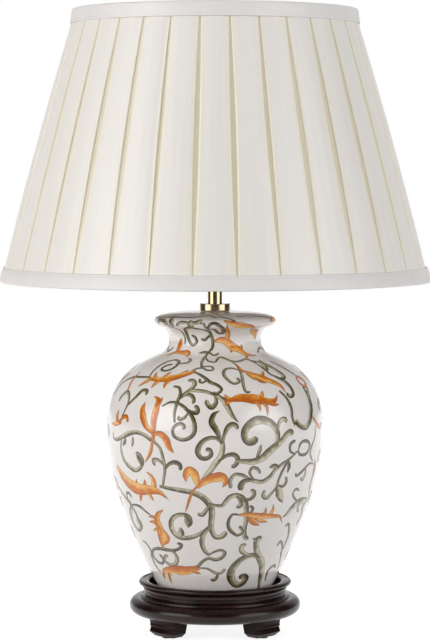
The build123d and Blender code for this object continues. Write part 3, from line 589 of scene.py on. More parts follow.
vase_side = vase_outer()
foot_ring = [(FOOT_R + out, VASE_FOOT + up) for out, up in FOOT_RING]
vase_section = np.vstack([[(VASE_HOLE, VASE_TOP), (VASE_HOLE, foot_ring[0][1])], foot_ring, vase_side])
vase = new_piece("glazed_vase", *turned(vase_section, segments=256), GLAZE, "base", "glazed_ceramic")
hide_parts("vase_body")


# Painted foliage. A stroke has a kind of brush, a width and the marks that it runs through; a mark is the
# turn from the front in degrees and the height in millimetres, from 158 below the vase's widest line.
OLIVE_STROKES = {
    "left arch": (
        ("scroll", 4.4, (-69, 154), (-68.5, 149), (-64, 148), (-59, 150.5), (-52, 155), (-46, 157.5),
         (-40, 156), (-34.5, 151)),
        ("stem", 3.0, (-36, 153), (-30, 145), (-28, 134), (-27.5, 125), (-28.5, 117), (-30, 108)),
        ("scroll", 4.0, (-58.5, 150), (-59.5, 140), (-58, 131), (-53, 124), (-48, 121.5), (-43.5, 125),
         (-41.5, 130.5), (-43, 136), (-46.5, 138.5)),
        ("leaf", 6.2, (-42.3, 126), (-43.3, 131.5), (-46, 137)),
        ("leaf", 4.4, (-54, 151), (-55.5, 147), (-57.5, 143)),
        ("leaf", 3.2, (-48, 153), (-48.2, 148), (-49.2, 143)),
        ("hook", 4.0, (-27.5, 125), (-24.5, 130.5), (-21, 132), (-18.5, 129.5), (-18.7, 124.5)),
        ("hook", 3.4, (-28, 129), (-31, 133.3), (-34.3, 132.8), (-33.3, 127.5)),
    ),
    "left hook": (
        ("hook", 3.2, (-58.5, 170), (-56, 178), (-55, 184), (-57, 190.5), (-60, 193), (-63.5, 190),
         (-66.5, 183)),
        ("hook", 3.4, (-55.5, 180), (-50, 189), (-45.5, 196), (-42.5, 195.5), (-42.7, 191.5)),
    ),
    "upper left scroll": (
        ("stem", 3.0, (-25.5, 201), (-21.7, 200), (-20, 195), (-21, 186.5), (-21.7, 178), (-21.3, 168)),
        ("scroll", 3.6, (-29.5, 183), (-24.7, 187), (-20, 186), (-15.5, 181.5), (-12.3, 175.5), (-10.4, 166),
         (-11, 159), (-14.2, 154.3), (-18, 153.5), (-21.8, 157.5), (-22, 163), (-20, 167), (-17.5, 168),
         (-16, 165.5), (-16.8, 162.5)),
        ("hook", 3.8, (-16, 182), (-12, 178.5), (-9.3, 178.5), (-9.3, 182), (-11, 185)),
        ("hook", 3.0, (-14, 178.5), (-16.5, 173), (-19.2, 172.3), (-19, 175.5)),
        ("hook", 3.4, (-20, 190), (-16.5, 194), (-13.3, 193.5), (-11.6, 189.5), (-12.2, 186)),
        ("hook", 3.8, (-19, 193.5), (-14.8, 198.5), (-12.3, 203), (-14.3, 206.7), (-17.3, 206)),
        ("stem", 3.4, (-19, 191.5), (-14.7, 197.3), (-9, 197.7), (-3, 196), (0.5, 193.5)),
        ("leaf", 4.8, (-3, 196), (4.3, 190), (7, 182.5), (9.2, 175.5), (12.5, 169)),
        ("hook", 4.2, (0, 195), (0.5, 187), (-1.8, 183), (-4, 186), (-4.8, 190)),
    ),
    "main stem": (
        ("stem", 5.0, (-7, 115.5), (-2.5, 125), (0, 131.5), (2.6, 137.5), (4, 146), (3.4, 155)),
        ("leaf", 5.4, (3.6, 152), (0.5, 163), (-1.8, 170.5), (-0.5, 177), (2.8, 180.5)),
        ("scroll", 4.6, (3.6, 150), (0.5, 155.3), (-4.3, 154.5), (-7.8, 149), (-9, 142.5), (-7.5, 137.3),
         (-4.3, 136.5), (-2, 140), (-2.8, 144.5), (-5, 144.5)),
        ("hook", 4.0, (4, 151), (5.2, 160.5), (7, 166), (9, 168), (11, 166.5), (11.5, 163)),
        ("hook", 4.2, (2, 134), (6.5, 139.5), (9.7, 140), (11.8, 136.5), (11, 131), (8.5, 127.7)),
    ),
    "dark leaf at the right": (
        ("leaf", 6.4, (63.5, 197), (64.6, 186), (63, 174), (59, 163)),
    ),
    "right volute": (
        ("scroll", 6.6, (10.5, 134.5), (16, 133.3), (20.5, 133), (25, 135.5), (29, 141), (33.3, 146.5),
         (37.5, 151.5), (40.5, 156.5), (43, 158), (44.7, 155)),
        ("scroll", 7.2, (33, 146), (34.5, 154), (33.3, 162), (30, 168), (25.5, 171), (21.3, 170.5),
         (17.5, 166.5), (15.3, 161), (15.3, 155), (17.5, 151), (20.5, 152), (21, 156.5)),
        ("hook", 3.8, (34.5, 158), (35, 166.5), (37.3, 170.5), (40, 170), (39.5, 166.7)),
        ("leaf", 3.6, (22, 136), (23.7, 143), (24.5, 149)),
    ),
    "right stems": (
        ("stem", 3.2, (40, 196), (43.8, 187.5), (45, 179.5), (44.7, 171.5), (46.5, 163)),
        ("scroll", 5.6, (69, 197), (66.5, 191), (64, 182), (62.5, 175), (60, 166), (55.5, 160.5),
         (50.5, 162.5), (47, 168.5)),
        ("stem", 3.2, (49.5, 140.5), (51, 146), (55.5, 148), (60, 143.5), (59, 138), (54, 135), (50, 137.5),
         (49.5, 141)),
        ("hook", 3.2, (46.5, 137), (43, 141), (43, 146), (47, 150)),
        ("stem", 2.2, (66.5, 160), (66, 150), (62.5, 141.5), (61.5, 136), (66.5, 126)),
    ),
    "wavy stem": (
        ("scroll", 3.8, (49, 139.5), (42.7, 132.5), (38, 128.5), (34, 124), (30.7, 117.5), (26.5, 113.5),
         (22, 114.5), (18.5, 116.3), (14.3, 120.7), (10.7, 121.3), (8.3, 116), (8.7, 108)),
        ("stem", 2.8, (42, 131), (38.7, 121.5), (36.7, 112), (36.5, 108)),
        ("leaf", 4.4, (36.5, 126), (33, 127.5), (29.7, 126.5)),
        ("leaf", 4.0, (42.3, 132), (43.3, 126), (42.5, 119.5)),
        ("hook", 3.0, (21.5, 115.5), (18.7, 123), (20, 127), (22.7, 126), (25, 121)),
        ("hook", 5.4, (20, 116), (15.5, 114), (14, 110), (15, 106)),
        ("hook", 2.8, (68, 124), (62, 125.3), (57, 121), (53, 117.3), (50, 116), (49.5, 119)),
        ("hook", 3.0, (58.5, 122), (59, 116.5), (57, 111), (54.5, 113)),
    ),
    "swelling stem": (
        ("scroll", 5.6, (-32, 108.5), (-25.5, 107), (-18, 105.5), (-13, 104.3), (-7.7, 100.5), (-4, 95),
         (-2, 88.5), (-1.9, 81.5), (-2.5, 72.5), (-1.8, 66), (0.8, 61), (4, 61.5), (7.5, 66.5)),
        ("hook", 3.8, (-2.8, 93), (-5.5, 86.5), (-8, 82.5), (-10.3, 84.5)),
        ("scroll", 4.8, (-2, 74), (-7, 67), (-12.5, 62), (-19, 59.5), (-24.5, 60.3), (-28.3, 66.5),
         (-28.3, 73.5), (-25, 80), (-20, 82.5), (-16, 81), (-15.2, 75.5), (-17.3, 71)),
        ("leaf", 6.0, (-23.5, 59.5), (-22.3, 64.5), (-22, 70)),
        ("leaf", 6.0, (-17.7, 82), (-16.8, 76), (-16.8, 69.5)),
        ("stem", 4.2, (-2.5, 72), (-7.3, 64), (-8.8, 55.5), (-7.3, 47.5), (-4, 42.5)),
        ("scroll", 3.4, (-4.7, 43), (0, 46.7), (4.3, 48), (7, 45.5), (5.5, 41.2), (0, 38.5), (-4.5, 40),
         (-8, 38), (-11.5, 34), (-14.5, 29.5)),
        ("hook", 2.8, (-12, 30), (-5.8, 29.3), (-1, 26), (2, 24.5), (4.7, 25), (8.3, 29.5)),
        ("hook", 3.0, (2.5, 25), (1, 20), (-1.5, 17.5), (-3.8, 19.3)),
    ),
    "arching stem": (
        ("scroll", 4.8, (-3.5, 94), (0.5, 92), (4, 92), (6.3, 96.5), (8.3, 100), (11.5, 101.5), (15, 99.5),
         (17.7, 93), (18.8, 84), (19.2, 76), (19, 66), (20.3, 60), (22.7, 58)),
        ("scroll", 3.2, (15.5, 82), (10.5, 83), (8.5, 78.5), (8.3, 71.5), (11.5, 65), (15, 62.5), (18, 65.5),
         (16.8, 69), (15, 71.5)),
        ("hook", 3.6, (15, 99.3), (19, 97), (22, 100), (22, 104.5), (19.7, 106.3)),
        ("hook", 3.8, (12, 101), (14.7, 95.5), (14.5, 91), (12, 90.3)),
        ("hook", 2.8, (18.7, 83.5), (22, 85), (22.3, 89), (20, 91)),
    ),
    "foot volute": (
        ("scroll", 6.6, (47, 5), (44, 16.5), (42, 25), (39, 33), (34.5, 39.5), (31, 46), (29.5, 52),
         (29.3, 56.5), (33, 59)),
        ("scroll", 6.8, (36, 37.5), (28, 41.7), (21, 39), (16, 33), (13, 25), (15, 16.5), (20.5, 12),
         (26, 14), (27.5, 19), (24.5, 21), (21.5, 18)),
        ("hook", 4.2, (30, 41.3), (22.3, 43.5), (19, 47), (19, 52), (22, 52.7)),
        ("leaf", 3.2, (29.5, 53), (28, 57.5), (25.5, 58)),
    ),
    "left vine": (
        ("scroll", 4.6, (-74, 101), (-66.5, 93), (-60, 86.5), (-65, 77), (-66, 66.5), (-62, 61.5),
         (-57.5, 64.5), (-57, 70), (-59.5, 71.5)),
        ("stem", 2.6, (-61, 87), (-57.5, 79), (-57, 70)),
        ("leaf", 7.4, (-57.5, 75), (-56.7, 68.5), (-57.7, 62)),
        ("hook", 2.6, (-63, 90), (-62, 97), (-58.7, 97.5), (-57, 93.5)),
        ("leaf", 2.8, (-62, 86), (-51, 86.3), (-46, 82), (-40.5, 77)),
        ("stem", 2.4, (-62, 51), (-58, 49.5), (-55, 43), (-57, 36.5), (-57, 27.5), (-53, 21)),
        ("scroll", 3.0, (-47, 45.5), (-53, 42), (-54, 36), (-50, 31.5), (-45, 32), (-43.5, 36.5),
         (-46, 40.5)),
        ("scroll", 3.6, (-57, 38), (-50.5, 44.5), (-42.5, 46.5), (-36, 46), (-29.5, 46.5), (-25, 49.5),
         (-23.5, 52.5), (-27, 53.5)),
        ("scroll", 3.6, (-38, 46.3), (-31, 44), (-29.5, 38), (-33, 32), (-38, 31.3), (-42, 34.5),
         (-40.5, 38.7), (-37, 40.3)),
    ),
    "right edge": (
        ("hook", 2.6, (68, 21), (63, 33), (59, 42), (60, 47.5), (60, 56), (57.5, 63), (54, 69), (51.5, 66)),
        ("hook", 2.6, (59.5, 41), (55.5, 49), (52, 52), (50, 47.5)),
        ("hook", 3.0, (52, 13), (51, 24), (56.5, 27.5), (61, 24.5)),
        ("leaf", 7.2, (76, 88), (62.5, 89.5), (57.5, 88.5), (53, 84.5), (50, 80), (45.5, 76)),
        ("hook", 2.6, (60.5, 89), (53.5, 93.5), (50.5, 99), (52, 102.5), (56.5, 100.7)),
        ("stem", 4.4, (70, 125), (71, 112), (70.5, 101), (74, 92), (67.5, 83), (70, 74), (67, 65)),
        ("leaf", 7.6, (36.2, 111), (39, 100.5), (43, 91)), ("hook", 3.0, (60, 88), (60, 82.5), (63, 79)),
        ("hook", 3.4, (36.7, 108.5), (33.5, 102), (30, 97.5), (28, 99.5), (28.7, 105.5)),
        ("hook", 3.2, (36.7, 109), (41, 107.5), (42.7, 112), (41.7, 116.5)),
    ),
    "shoulder": (
        ("scroll", 3.4, (-17, 214), (-11.3, 212), (-6.3, 208.5), (-2.8, 205), (1.5, 202.5), (3.8, 199),
         (1.5, 195.5), (-2, 196)),
        ("hook", 2.4, (-5.5, 208.5), (-6.8, 205), (-9, 205), (-9.8, 208.3)),
        ("stem", 2.2, (-18, 213), (-13.8, 216.3), (-10, 217), (-5, 215), (-1.5, 215.5), (-2, 217.7),
         (-6.7, 218.3), (-11, 217.3)),
        ("stem", 2.6, (-9.8, 216.7), (-11.3, 221), (-10.3, 226), (-7.5, 230)),
        ("scroll", 2.7, (-10, 226.5), (-5, 222.3), (0, 221.8), (2.2, 224), (5.5, 225.7), (9.5, 224.7),
         (14.3, 222.7), (19.5, 222), (24.5, 222.7), (30.5, 223.7), (34.5, 221.5), (38, 216), (40.5, 209.5)),
        ("hook", 2.8, (14, 222.8), (17.5, 219), (18.3, 213.5), (17.7, 206.5), (17.3, 201), (18.2, 196.5),
         (21, 196.3)),
        ("scroll", 3.0, (17.7, 215), (12.5, 216.7), (7.5, 215.7), (6, 212), (8, 207.5), (12, 203.7),
         (15.3, 205.5), (14.3, 209)),
        ("leaf", 6.0, (43.5, 222.5), (42, 218), (39.5, 212.5)),
        ("hook", 4.2, (33, 222.5), (43, 219.7), (48.5, 214), (51, 207.5), (46, 205.5)),
        ("scroll", 4.2, (40, 210.5), (44.5, 207), (48.5, 203), (50.5, 197.5), (49.7, 191.5), (46, 190.5),
         (45.3, 194)),
        ("stem", 2.2, (55, 221), (62, 212), (65.5, 207.5), (70, 202)),
        ("scroll", 2.8, (-47.5, 207.5), (-48.5, 213.5), (-47.5, 218), (-43.5, 221.5), (-37.5, 222.7),
         (-32, 220.7), (-31.7, 218), (-34.5, 214.7), (-39, 213.5), (-42.5, 214.8), (-41, 217.7), (-36, 219.3)),
        ("hook", 2.8, (-34, 219.5), (-28, 220.3), (-24, 221), (-23.5, 223.5), (-26.5, 224.3)),
        ("stem", 2.8, (-81, 187), (-75, 199), (-63, 206), (-55.5, 206.7), (-46, 207.5)),
    ),
    "neck": (
        ("stem", 2.8, (-7.5, 230), (-3.5, 233.5), (-3, 241), (-5, 246.5), (-7.5, 252), (-11, 258.5)),
        ("leaf", 3.0, (-3.5, 228.7), (-12, 229.7), (-19.5, 228.7)),
        ("hook", 2.4, (-6.5, 229.5), (-0.5, 227.2), (4.5, 229.3)),
        ("hook", 3.4, (-7.3, 251), (-4.5, 256.3), (-1, 257.7), (3.5, 255.7), (8.5, 252), (9.7, 246.5)),
        ("scroll", 2.6, (-6.7, 252), (-1.5, 252), (3, 248.5), (7, 247.3), (8, 250.3), (5.5, 251.5)),
        ("scroll", 3.4, (-6, 248.5), (-15, 251.7), (-26, 253), (-33.5, 250.5), (-35, 244), (-32.5, 238),
         (-28, 236), (-23.5, 238.5), (-25, 243.5), (-29.5, 245.5)),
        ("hook", 2.6, (-4.5, 246.7), (-9, 243.5), (-13.5, 241), (-17.5, 242.5)),
        ("stem", 2.0, (-46, 253), (-41, 248.5), (-40, 243.5), (-40.5, 236)),
        ("hook", 3.2, (-44, 251.5), (-52, 256.3), (-60, 258.7), (-68, 257.5), (-65, 254.7)),
        ("hook", 3.0, (-20, 254.5), (-27, 257.7), (-35, 257.3), (-39.5, 254.3)),
        ("hook", 2.6, (-12, 257), (-16.5, 258.3), (-22, 257), (-21, 254.7)),
        ("stem", 2.2, (-74, 260), (-52, 262), (-25, 262.5), (-6, 263.7), (2, 262)),
        ("stem", 2.0, (4, 263.3), (13, 261.7), (20, 258.5)),
        ("stem", 1.8, (24, 263), (42, 263.3), (58, 262), (66, 260)),
        ("leaf", 5.4, (-58, 260.5), (-54, 257.5), (-50, 255)),
        ("leaf", 6.0, (-47, 262), (-45, 258), (-42, 253.5)),
        ("leaf", 4.6, (-40, 262), (-47, 262.3), (-56, 261.3)),
        ("leaf", 6.0, (-22.5, 260), (-23.5, 256), (-21.5, 252.5)),
        ("leaf", 4.4, (-12, 260.5), (-16, 258.5), (-19, 256)),
    ),
    "side, guessed": (
        ("stem", 3.2, (92, 8), (84, 32), (94, 56), (87, 80), (95, 104), (86, 128), (93, 152), (86, 176),
         (92, 198), (88, 216)),
        ("hook", 3.6, (84.5, 30), (79, 39), (76, 34), (79.5, 29.5)),
        ("hook", 3.6, (93.5, 54), (100, 62), (104, 57), (100.5, 51.5)),
        ("hook", 3.6, (94.5, 101), (102, 108.5), (105, 103), (101, 98)),
        ("hook", 3.6, (86.5, 125), (79, 134), (76, 128.5), (80, 123.5)),
        ("hook", 3.6, (92.5, 149), (99, 158), (102.5, 152.5), (98.5, 147)),
        ("hook", 3.6, (86.5, 173), (80, 182), (77, 176.5), (80.5, 171.5)),
        ("scroll", 2.6, (56, 228), (70, 232), (84, 229), (98, 232), (112, 229), (118, 233)),
        ("hook", 2.6, (83, 229), (88, 238), (96, 240), (98, 235)),
    ),
}
ORANGE_STROKES = {
    "left trefoil": (
        ("petal", 4.2, (-60.5, 163.5), (-63.7, 168), (-63, 176)),
        ("petal", 4.0, (-58.5, 164.5), (-64, 162.7), (-71, 162)),
        ("hook", 3.4, (-61, 164), (-57.3, 169.5), (-54, 171), (-52.3, 165.5)),
    ),
    "tall petals": (
        ("petal", 3.0, (-34, 159), (-34.5, 149), (-35.5, 141), (-38, 134), (-40.3, 129.5)),
        ("petal", 6.2, (-33.7, 150), (-33.6, 160), (-33.6, 171), (-32.8, 181), (-33, 189), (-36.5, 191.5)),
        ("lobe", 3.0, (-32.8, 182), (-31.3, 187), (-30, 191)),
        ("petal", 6.4, (-34, 157.5), (-38.5, 164.5), (-41, 172.5), (-42, 179), (-41, 186)),
        ("petal", 6.0, (-34.5, 157.5), (-29, 157.5), (-26, 153), (-24.5, 146.5), (-21.7, 140.5)),
    ),
    "centre flower": (
        ("petal", 2.2, (-8.5, 112), (-12, 106), (-14, 99.5), (-15.7, 92.5), (-17.7, 84.5)),
        ("petal", 7.4, (-8.7, 108.5), (-10, 116), (-11.5, 122.7), (-14, 124.5), (-15.7, 120.3), (-15.8, 114)),
        ("petal", 7.6, (-9.7, 109), (-5, 115.5), (0, 118.7), (4, 119), (5.7, 114.5), (4, 109)),
    ),
    "left flame": (
        ("lobe", 3.0, (-50.5, 104.5), (-49, 109), (-48.3, 113.5)),
        ("lobe", 3.2, (-43.5, 105), (-42.3, 109.5), (-41.5, 114)),
        ("lobe", 3.8, (-37, 104), (-35.5, 111), (-36.5, 117), (-40, 121.5)),
        ("lobe", 3.0, (-47.5, 102), (-47.5, 97), (-49, 91)),
        ("lobe", 3.0, (-41.5, 102), (-39.5, 98.5), (-37.7, 93.5)),
        ("flame", 10.6, (-68, 122.5), (-60.5, 111.5), (-53.5, 105.5), (-47, 103.5), (-40, 104),
         (-33.5, 103.3), (-27, 96)),
    ),
    "foot flame": (
        ("lobe", 2.8, (-46, 25), (-49.5, 20.5), (-51, 15)),
        ("lobe", 2.8, (-40, 25.5), (-43, 19.5), (-43.5, 11.5)),
        ("lobe", 2.4, (-18, 28), (-15.7, 30.7), (-13, 32.5)),
        ("lobe", 2.4, (-18, 27.5), (-15, 25), (-11.5, 24.3)),
        ("flame", 9.0, (-12.5, 29), (-17, 28.5), (-22, 27), (-29, 26.3), (-39, 26), (-50.5, 24)),
    ),
    "upright flame": (
        ("petal", 6.0, (-39, 51), (-34.3, 57), (-34.9, 66)),
        ("lobe", 3.0, (-38, 70.5), (-41.5, 72.5), (-45.7, 72.5)),
        ("lobe", 2.8, (-38, 63.5), (-41.5, 65.5), (-44.5, 63.7)),
        ("lobe", 2.6, (-38.5, 75.5), (-41.5, 77.7), (-45, 77.5)),
        ("flame", 7.2, (-39.7, 48), (-38.7, 59), (-37.7, 66.5), (-38.3, 75), (-36.3, 81.5), (-31.5, 86)),
    ),
    "right flame": (
        ("lobe", 2.4, (29.5, 80.5), (31.3, 84.5), (31, 89)),
        ("lobe", 2.6, (34.5, 79.5), (36.5, 85), (36, 91)), ("lobe", 4.0, (21.5, 81), (24, 74.5), (29, 71)),
        ("lobe", 3.2, (25, 80.5), (29, 75.7), (34.5, 73.7)),
        ("flame", 5.0, (13.5, 82.5), (19, 82.5), (24, 81.5), (30, 80), (37, 79), (43.5, 77.5), (47, 71)),
    ),
    "upper flame": (
        ("petal", 3.8, (11, 190), (7, 191), (5.4, 194.5)), ("petal", 3.8, (11, 190), (7, 188), (5.4, 184.5)),
        ("lobe", 3.4, (24, 190), (27, 192.5), (28.3, 197)),
        ("lobe", 2.8, (23, 188.5), (24.3, 184), (24.7, 178.5)),
        ("lobe", 2.6, (27.3, 187.5), (28.8, 181.5), (28.5, 174.5)),
        ("lobe", 3.2, (30.5, 187), (33.5, 184.5), (37, 184)),
        ("flame", 8.2, (7.5, 189.3), (14.7, 191.3), (19.8, 190.5), (26, 188.7), (31.5, 187), (35.5, 188.7),
         (37.5, 193)),
    ),
    "shoulder flames": (
        ("lobe", 3.0, (-29.5, 206.5), (-31.5, 202), (-31.3, 198.5)),
        ("lobe", 3.0, (-37, 205.5), (-39.5, 201.5), (-40.5, 198)),
        ("lobe", 2.8, (-44, 206), (-48.5, 202.3), (-52, 198.5)),
        ("lobe", 2.4, (-25, 209.5), (-22, 212.7), (-19, 215)),
        ("lobe", 2.4, (-35, 207.5), (-33.7, 210.7), (-31.7, 213)),
        ("lobe", 2.2, (-41, 207), (-43.5, 209.5), (-43.5, 212)),
        ("flame", 6.8, (-13.5, 214.3), (-20, 211.7), (-27, 208.7), (-33.5, 206.7), (-41, 206), (-50, 207.5)),
        ("lobe", 2.8, (30, 209), (34, 210.7), (36, 213.5)),
        ("lobe", 2.6, (27, 209.5), (29.5, 205), (33.5, 203)),
        ("lobe", 2.6, (23, 212), (26, 207.5), (30, 205.5)),
        ("petal", 3.2, (23, 212.7), (19.5, 214.7), (18.3, 218.5)),
        ("flame", 6.2, (20, 214.3), (25.5, 211.3), (32, 207.7), (38.5, 203.7), (42.5, 200.3), (44.3, 193)),
        ("petal", 2.2, (-61.5, 210.5), (-62.5, 204.5), (-61, 196.5), (-60.3, 192)),
        ("stem", 2.8, (62.5, 205), (68, 205.7), (71.3, 201), (66, 197), (63, 200), (62.5, 205)),
    ),
    "neck flames": (
        ("petal", 5.0, (-49.5, 228), (-49, 235), (-46, 242)),
        ("petal", 5.2, (-51, 228.5), (-40, 228.7), (-32, 228.5), (-30, 225.3)),
        ("petal", 3.4, (-48, 228.7), (-54, 227.7), (-58, 225)),
        ("lobe", 2.6, (22, 235), (20, 231.5), (18, 229.3)),
        ("lobe", 2.6, (30, 231.5), (34, 233.5), (34.7, 237)),
        ("lobe", 2.6, (36.5, 228), (34, 225.5), (31, 224)),
        ("lobe", 2.8, (14, 239), (15.3, 244), (12, 252.5), (11, 258)),
        ("flame", 7.0, (-1, 239.7), (7, 241.3), (15, 239), (22, 234.7), (30, 231.7), (36, 227.7), (43, 226.3),
         (49.5, 226)),
        ("flame", 5.8, (8.5, 260), (17, 256.7), (26, 254.7), (38, 253.3), (47, 250.5)),
        ("flame", 6.4, (41, 251), (54, 247), (61.5, 240)), ("petal", 4.6, (64, 258), (72, 259.2), (79, 258)),
    ),
    "right edge": (
        ("petal", 4.0, (63.5, 169), (68, 163), (74, 158), (80, 161.5)),
        ("petal", 3.2, (70, 127), (72, 120), (71.7, 112)),
    ),
    "side, guessed": (
        ("petal", 5.0, (87.5, 79), (82, 87), (80, 96)), ("petal", 5.0, (88, 79), (91, 88), (90, 97)),
        ("petal", 4.6, (88.5, 79), (98, 84), (102, 91)), ("petal", 4.6, (91, 197), (84, 202), (81, 209)),
        ("petal", 4.8, (91, 197), (91, 206), (93, 214)), ("petal", 4.6, (91, 197), (98, 201), (102, 208)),
        ("flame", 5.4, (75, 18), (83, 15.5), (92, 17), (101, 15), (110, 18.5)),
    ),
}

# Width of each kind of stroke along it: places from 0 to 1 and shares of the stroke's width
BRUSHES = {
    "stem": ((0, 0.1, 0.5, 0.9, 0.97, 1), (0.5, 0.8, 1, 0.75, 0.6, 0)),
    "scroll": ((0, 0.2, 0.5, 0.8, 0.92, 0.97, 0.99, 1), (0.4, 0.72, 1, 0.72, 0.8, 0.85, 0.6, 0)),
    "hook": ((0, 0.3, 0.6, 0.85, 0.95, 0.99, 1), (0.45, 0.75, 1, 0.9, 0.8, 0.5, 0)),
    "leaf": ((0, 0.2, 0.5, 0.8, 1), (0.3, 0.7, 1, 0.65, 0)),
    "flame": ((0, 0.15, 0.45, 0.8, 1), (0.25, 0.7, 1, 0.55, 0)),
    "lobe": ((0, 0.4, 0.8, 1), (1.5, 1.2, 0.6, 0)),
    "petal": ((0, 0.3, 0.6, 0.85, 1), (0.35, 0.8, 1, 0.6, 0)),
}
ACROSS = np.array([1, 0.9, 0.5, 0, -0.5, -0.9, -1.0])  # places across a stroke, from edge to edge
PAINT_ZERO = BELLY_Z - 158  # height that the marks are measured from
PAINT_EDGE = -0.05  # a stroke's edges lie under the glaze
PAINT_LAYERS = 0.12  # height of the last stroke over the first
FOOT_GAP, CAP_GAP = 1, 0.5  # lengths without paint at the ends of the vase's side
side_walk = walked(vase_side)
side_run = np.gradient(vase_side, side_walk, axis=0)


def on_vase(turn, walk, lift):
    """Points at a turn from the front and a length up the vase's side, lifted off it, and the normals there."""
    r, z = read_off(walk, side_walk, vase_side)
    run_r, run_z = read_off(walk, side_walk, side_run)
    size = np.hypot(run_r, run_z)
    a = FRONT + turn
    normals = round_axis(run_z / size, a, -run_r / size)
    return round_axis(r, a, z) + lift[..., None] * normals, normals


def brush_line(marks, pace=1.3, least=10):
    """Smooth line through a stroke's marks, in cubic pieces whose slopes come from the marks on both sides.

    The line is worked out on the vase's side rolled flat, and given as turns and lengths up the side.
    """
    marks = np.array(marks, float)
    walk = np.interp(PAINT_ZERO + marks[:, 1], vase_side[:, 1], side_walk)
    girth = np.interp(walk, side_walk, vase_side[:, 0]).mean()
    flat = np.stack([np.radians(marks[:, 0]) * girth, walk], axis=1)
    at = walked(flat)
    slope = np.gradient(flat, at, axis=0)
    s = np.linspace(0, at[-1], max(least, int(at[-1] / pace)))
    i = np.clip(np.searchsorted(at, s, side="right") - 1, 0, len(at) - 2)
    gap = (at[i + 1] - at[i])[:, None]
    t = (s - at[i])[:, None] / gap
    line = ((1 + 2 * t) * (1 - t) ** 2 * flat[i] + t * (1 - t) ** 2 * gap * slope[i]
            + t * t * (3 - 2 * t) * flat[i + 1] + t * t * (t - 1) * gap * slope[i + 1])
    return line[:, 0] / girth, line[:, 1]


def brush_ribbon(kind, width, marks, lift, tone):
    """Ribbon of paint along a stroke, widened by its brush, with its edges sunk into the glaze.

    Its own measure is the place across it (positive inside its bend), half its width and its tone.
    """
    turns, walks = brush_line(marks)
    radius = np.interp(walks, side_walk, vase_side[:, 0])
    way = np.unwrap(np.arctan2(np.gradient(walks), np.gradient(turns) * radius))
    inside = 1 if way[-1] > way[0] else -1
    way = way[:, None]
    half = width / 2 * np.interp(np.linspace(0, 1, len(turns)), *BRUSHES[kind])[:, None]
    walk = np.clip(walks[:, None] + np.cos(way) * half * ACROSS, FOOT_GAP, side_walk[-1] - CAP_GAP)
    turn = turns[:, None] - np.sin(way) * half * ACROSS / np.interp(walk, side_walk, vase_side[:, 0])
    points, normals = on_vase(turn, walk, np.where(np.abs(ACROSS) < 1, lift, PAINT_EDGE) + 0 * turn)
    paint = np.stack(np.broadcast_arrays(inside * ACROSS, half, tone + 0 * turn), axis=-1)
    return points.reshape(-1, 3), normals.reshape(-1, 3), paint.reshape(-1, 3), len(turns)


def painted(name, material, motifs, lift, fullness):
    """One piece of paint from motifs on the front and again on the back, shaded with the vase's own normals."""
    strokes = [stroke for motif in motifs.values() for stroke in motif]
    points, normals, paint, quads = [], [], [], []
    count = 0
    for order, (kind, width, *marks) in enumerate(strokes):
        layer = lift + PAINT_LAYERS * order / len(strokes)
        place, normal, measure, steps = brush_ribbon(kind, fullness * width, marks, layer, dice.uniform())
        for half_turn in (1, -1):
            flip = np.array((half_turn, half_turn, 1))
            points.append(place * flip)
            normals.append(normal * flip)
            paint.append(measure)
            quads.append(grid_quads(steps, len(ACROSS), False, False) + count)
            count += len(place)
    measures = {"paint": np.vstack(paint)}
    piece = new_piece(name, np.vstack(points), np.vstack(quads), material, "base", "glazed_ceramic", measures)
    piece.data.normals_split_custom_set_from_vertices(np.vstack(normals).tolist())


OLIVE = paint_finish(
    "olive_paint", srgb(40, 34, 18), srgb(68, 61, 38), srgb(120, 110, 76), srgb(204, 197, 172))
ORANGE = paint_finish(
    "orange_paint", srgb(140, 78, 28), srgb(188, 94, 10), srgb(212, 122, 16), srgb(238, 184, 98))
painted("painted_scrolls", OLIVE, OLIVE_STROKES, lift=0.08, fullness=1.2)
painted("painted_leaves", ORANGE, ORANGE_STROKES, lift=0.22, fullness=1.25)


# Shade

COVER_ROWS = 56
PANEL_CROWN, GROOVE_DEPTH, RIPPLE, BULGE = 0.7, 2.3, 0.13, 1.7
GROOVE_LOW, GROOVE_HIGH, GROOVE_MIDDLE = 1.8, 2.0, 6.4  # width of a groove at the hems and half way up
HEM_SHARE = 0.4  # share of a groove's depth that is left at the hems
WIDTH_CHANGE, LEAN_CHANGE, CROWN_CHANGE = 0.16, 0.5, 0.25  # how much the pleats differ
PLEAT_STEP = 40.0  # shift of the cloth's measure from one pleat to the next


def half_pleat():
    """Half a pleat, from the middle of its panel to the middle of its groove.

    Given are the places as shares of the panel and of the groove, the drops of the radius in millimetres, and
    the cloth's own measure, which passes 1 at the fold.
    """
    panel = np.array([0, 0.3, 0.55, 0.75, 0.88, 0.95])
    fold = PANEL_CROWN, PANEL_CROWN + 0.2, PANEL_CROWN + 0.7, GROOVE_DEPTH - 0.4, GROOVE_DEPTH - 0.1
    place = np.concatenate([panel, np.ones(8)])
    into = np.concatenate([0 * panel, [0.0, 0.1, 0.22, 0.3, 0.36, 0.5, 0.75, 1.0]])
    drop = np.concatenate([PANEL_CROWN * panel ** 2, fold, [GROOVE_DEPTH] * 3])
    measure = np.concatenate([panel, [1.0, 1.04, 1.1, 1.2, 1.27, 1.32, 1.36, 1.4]])
    return place, into, drop, measure


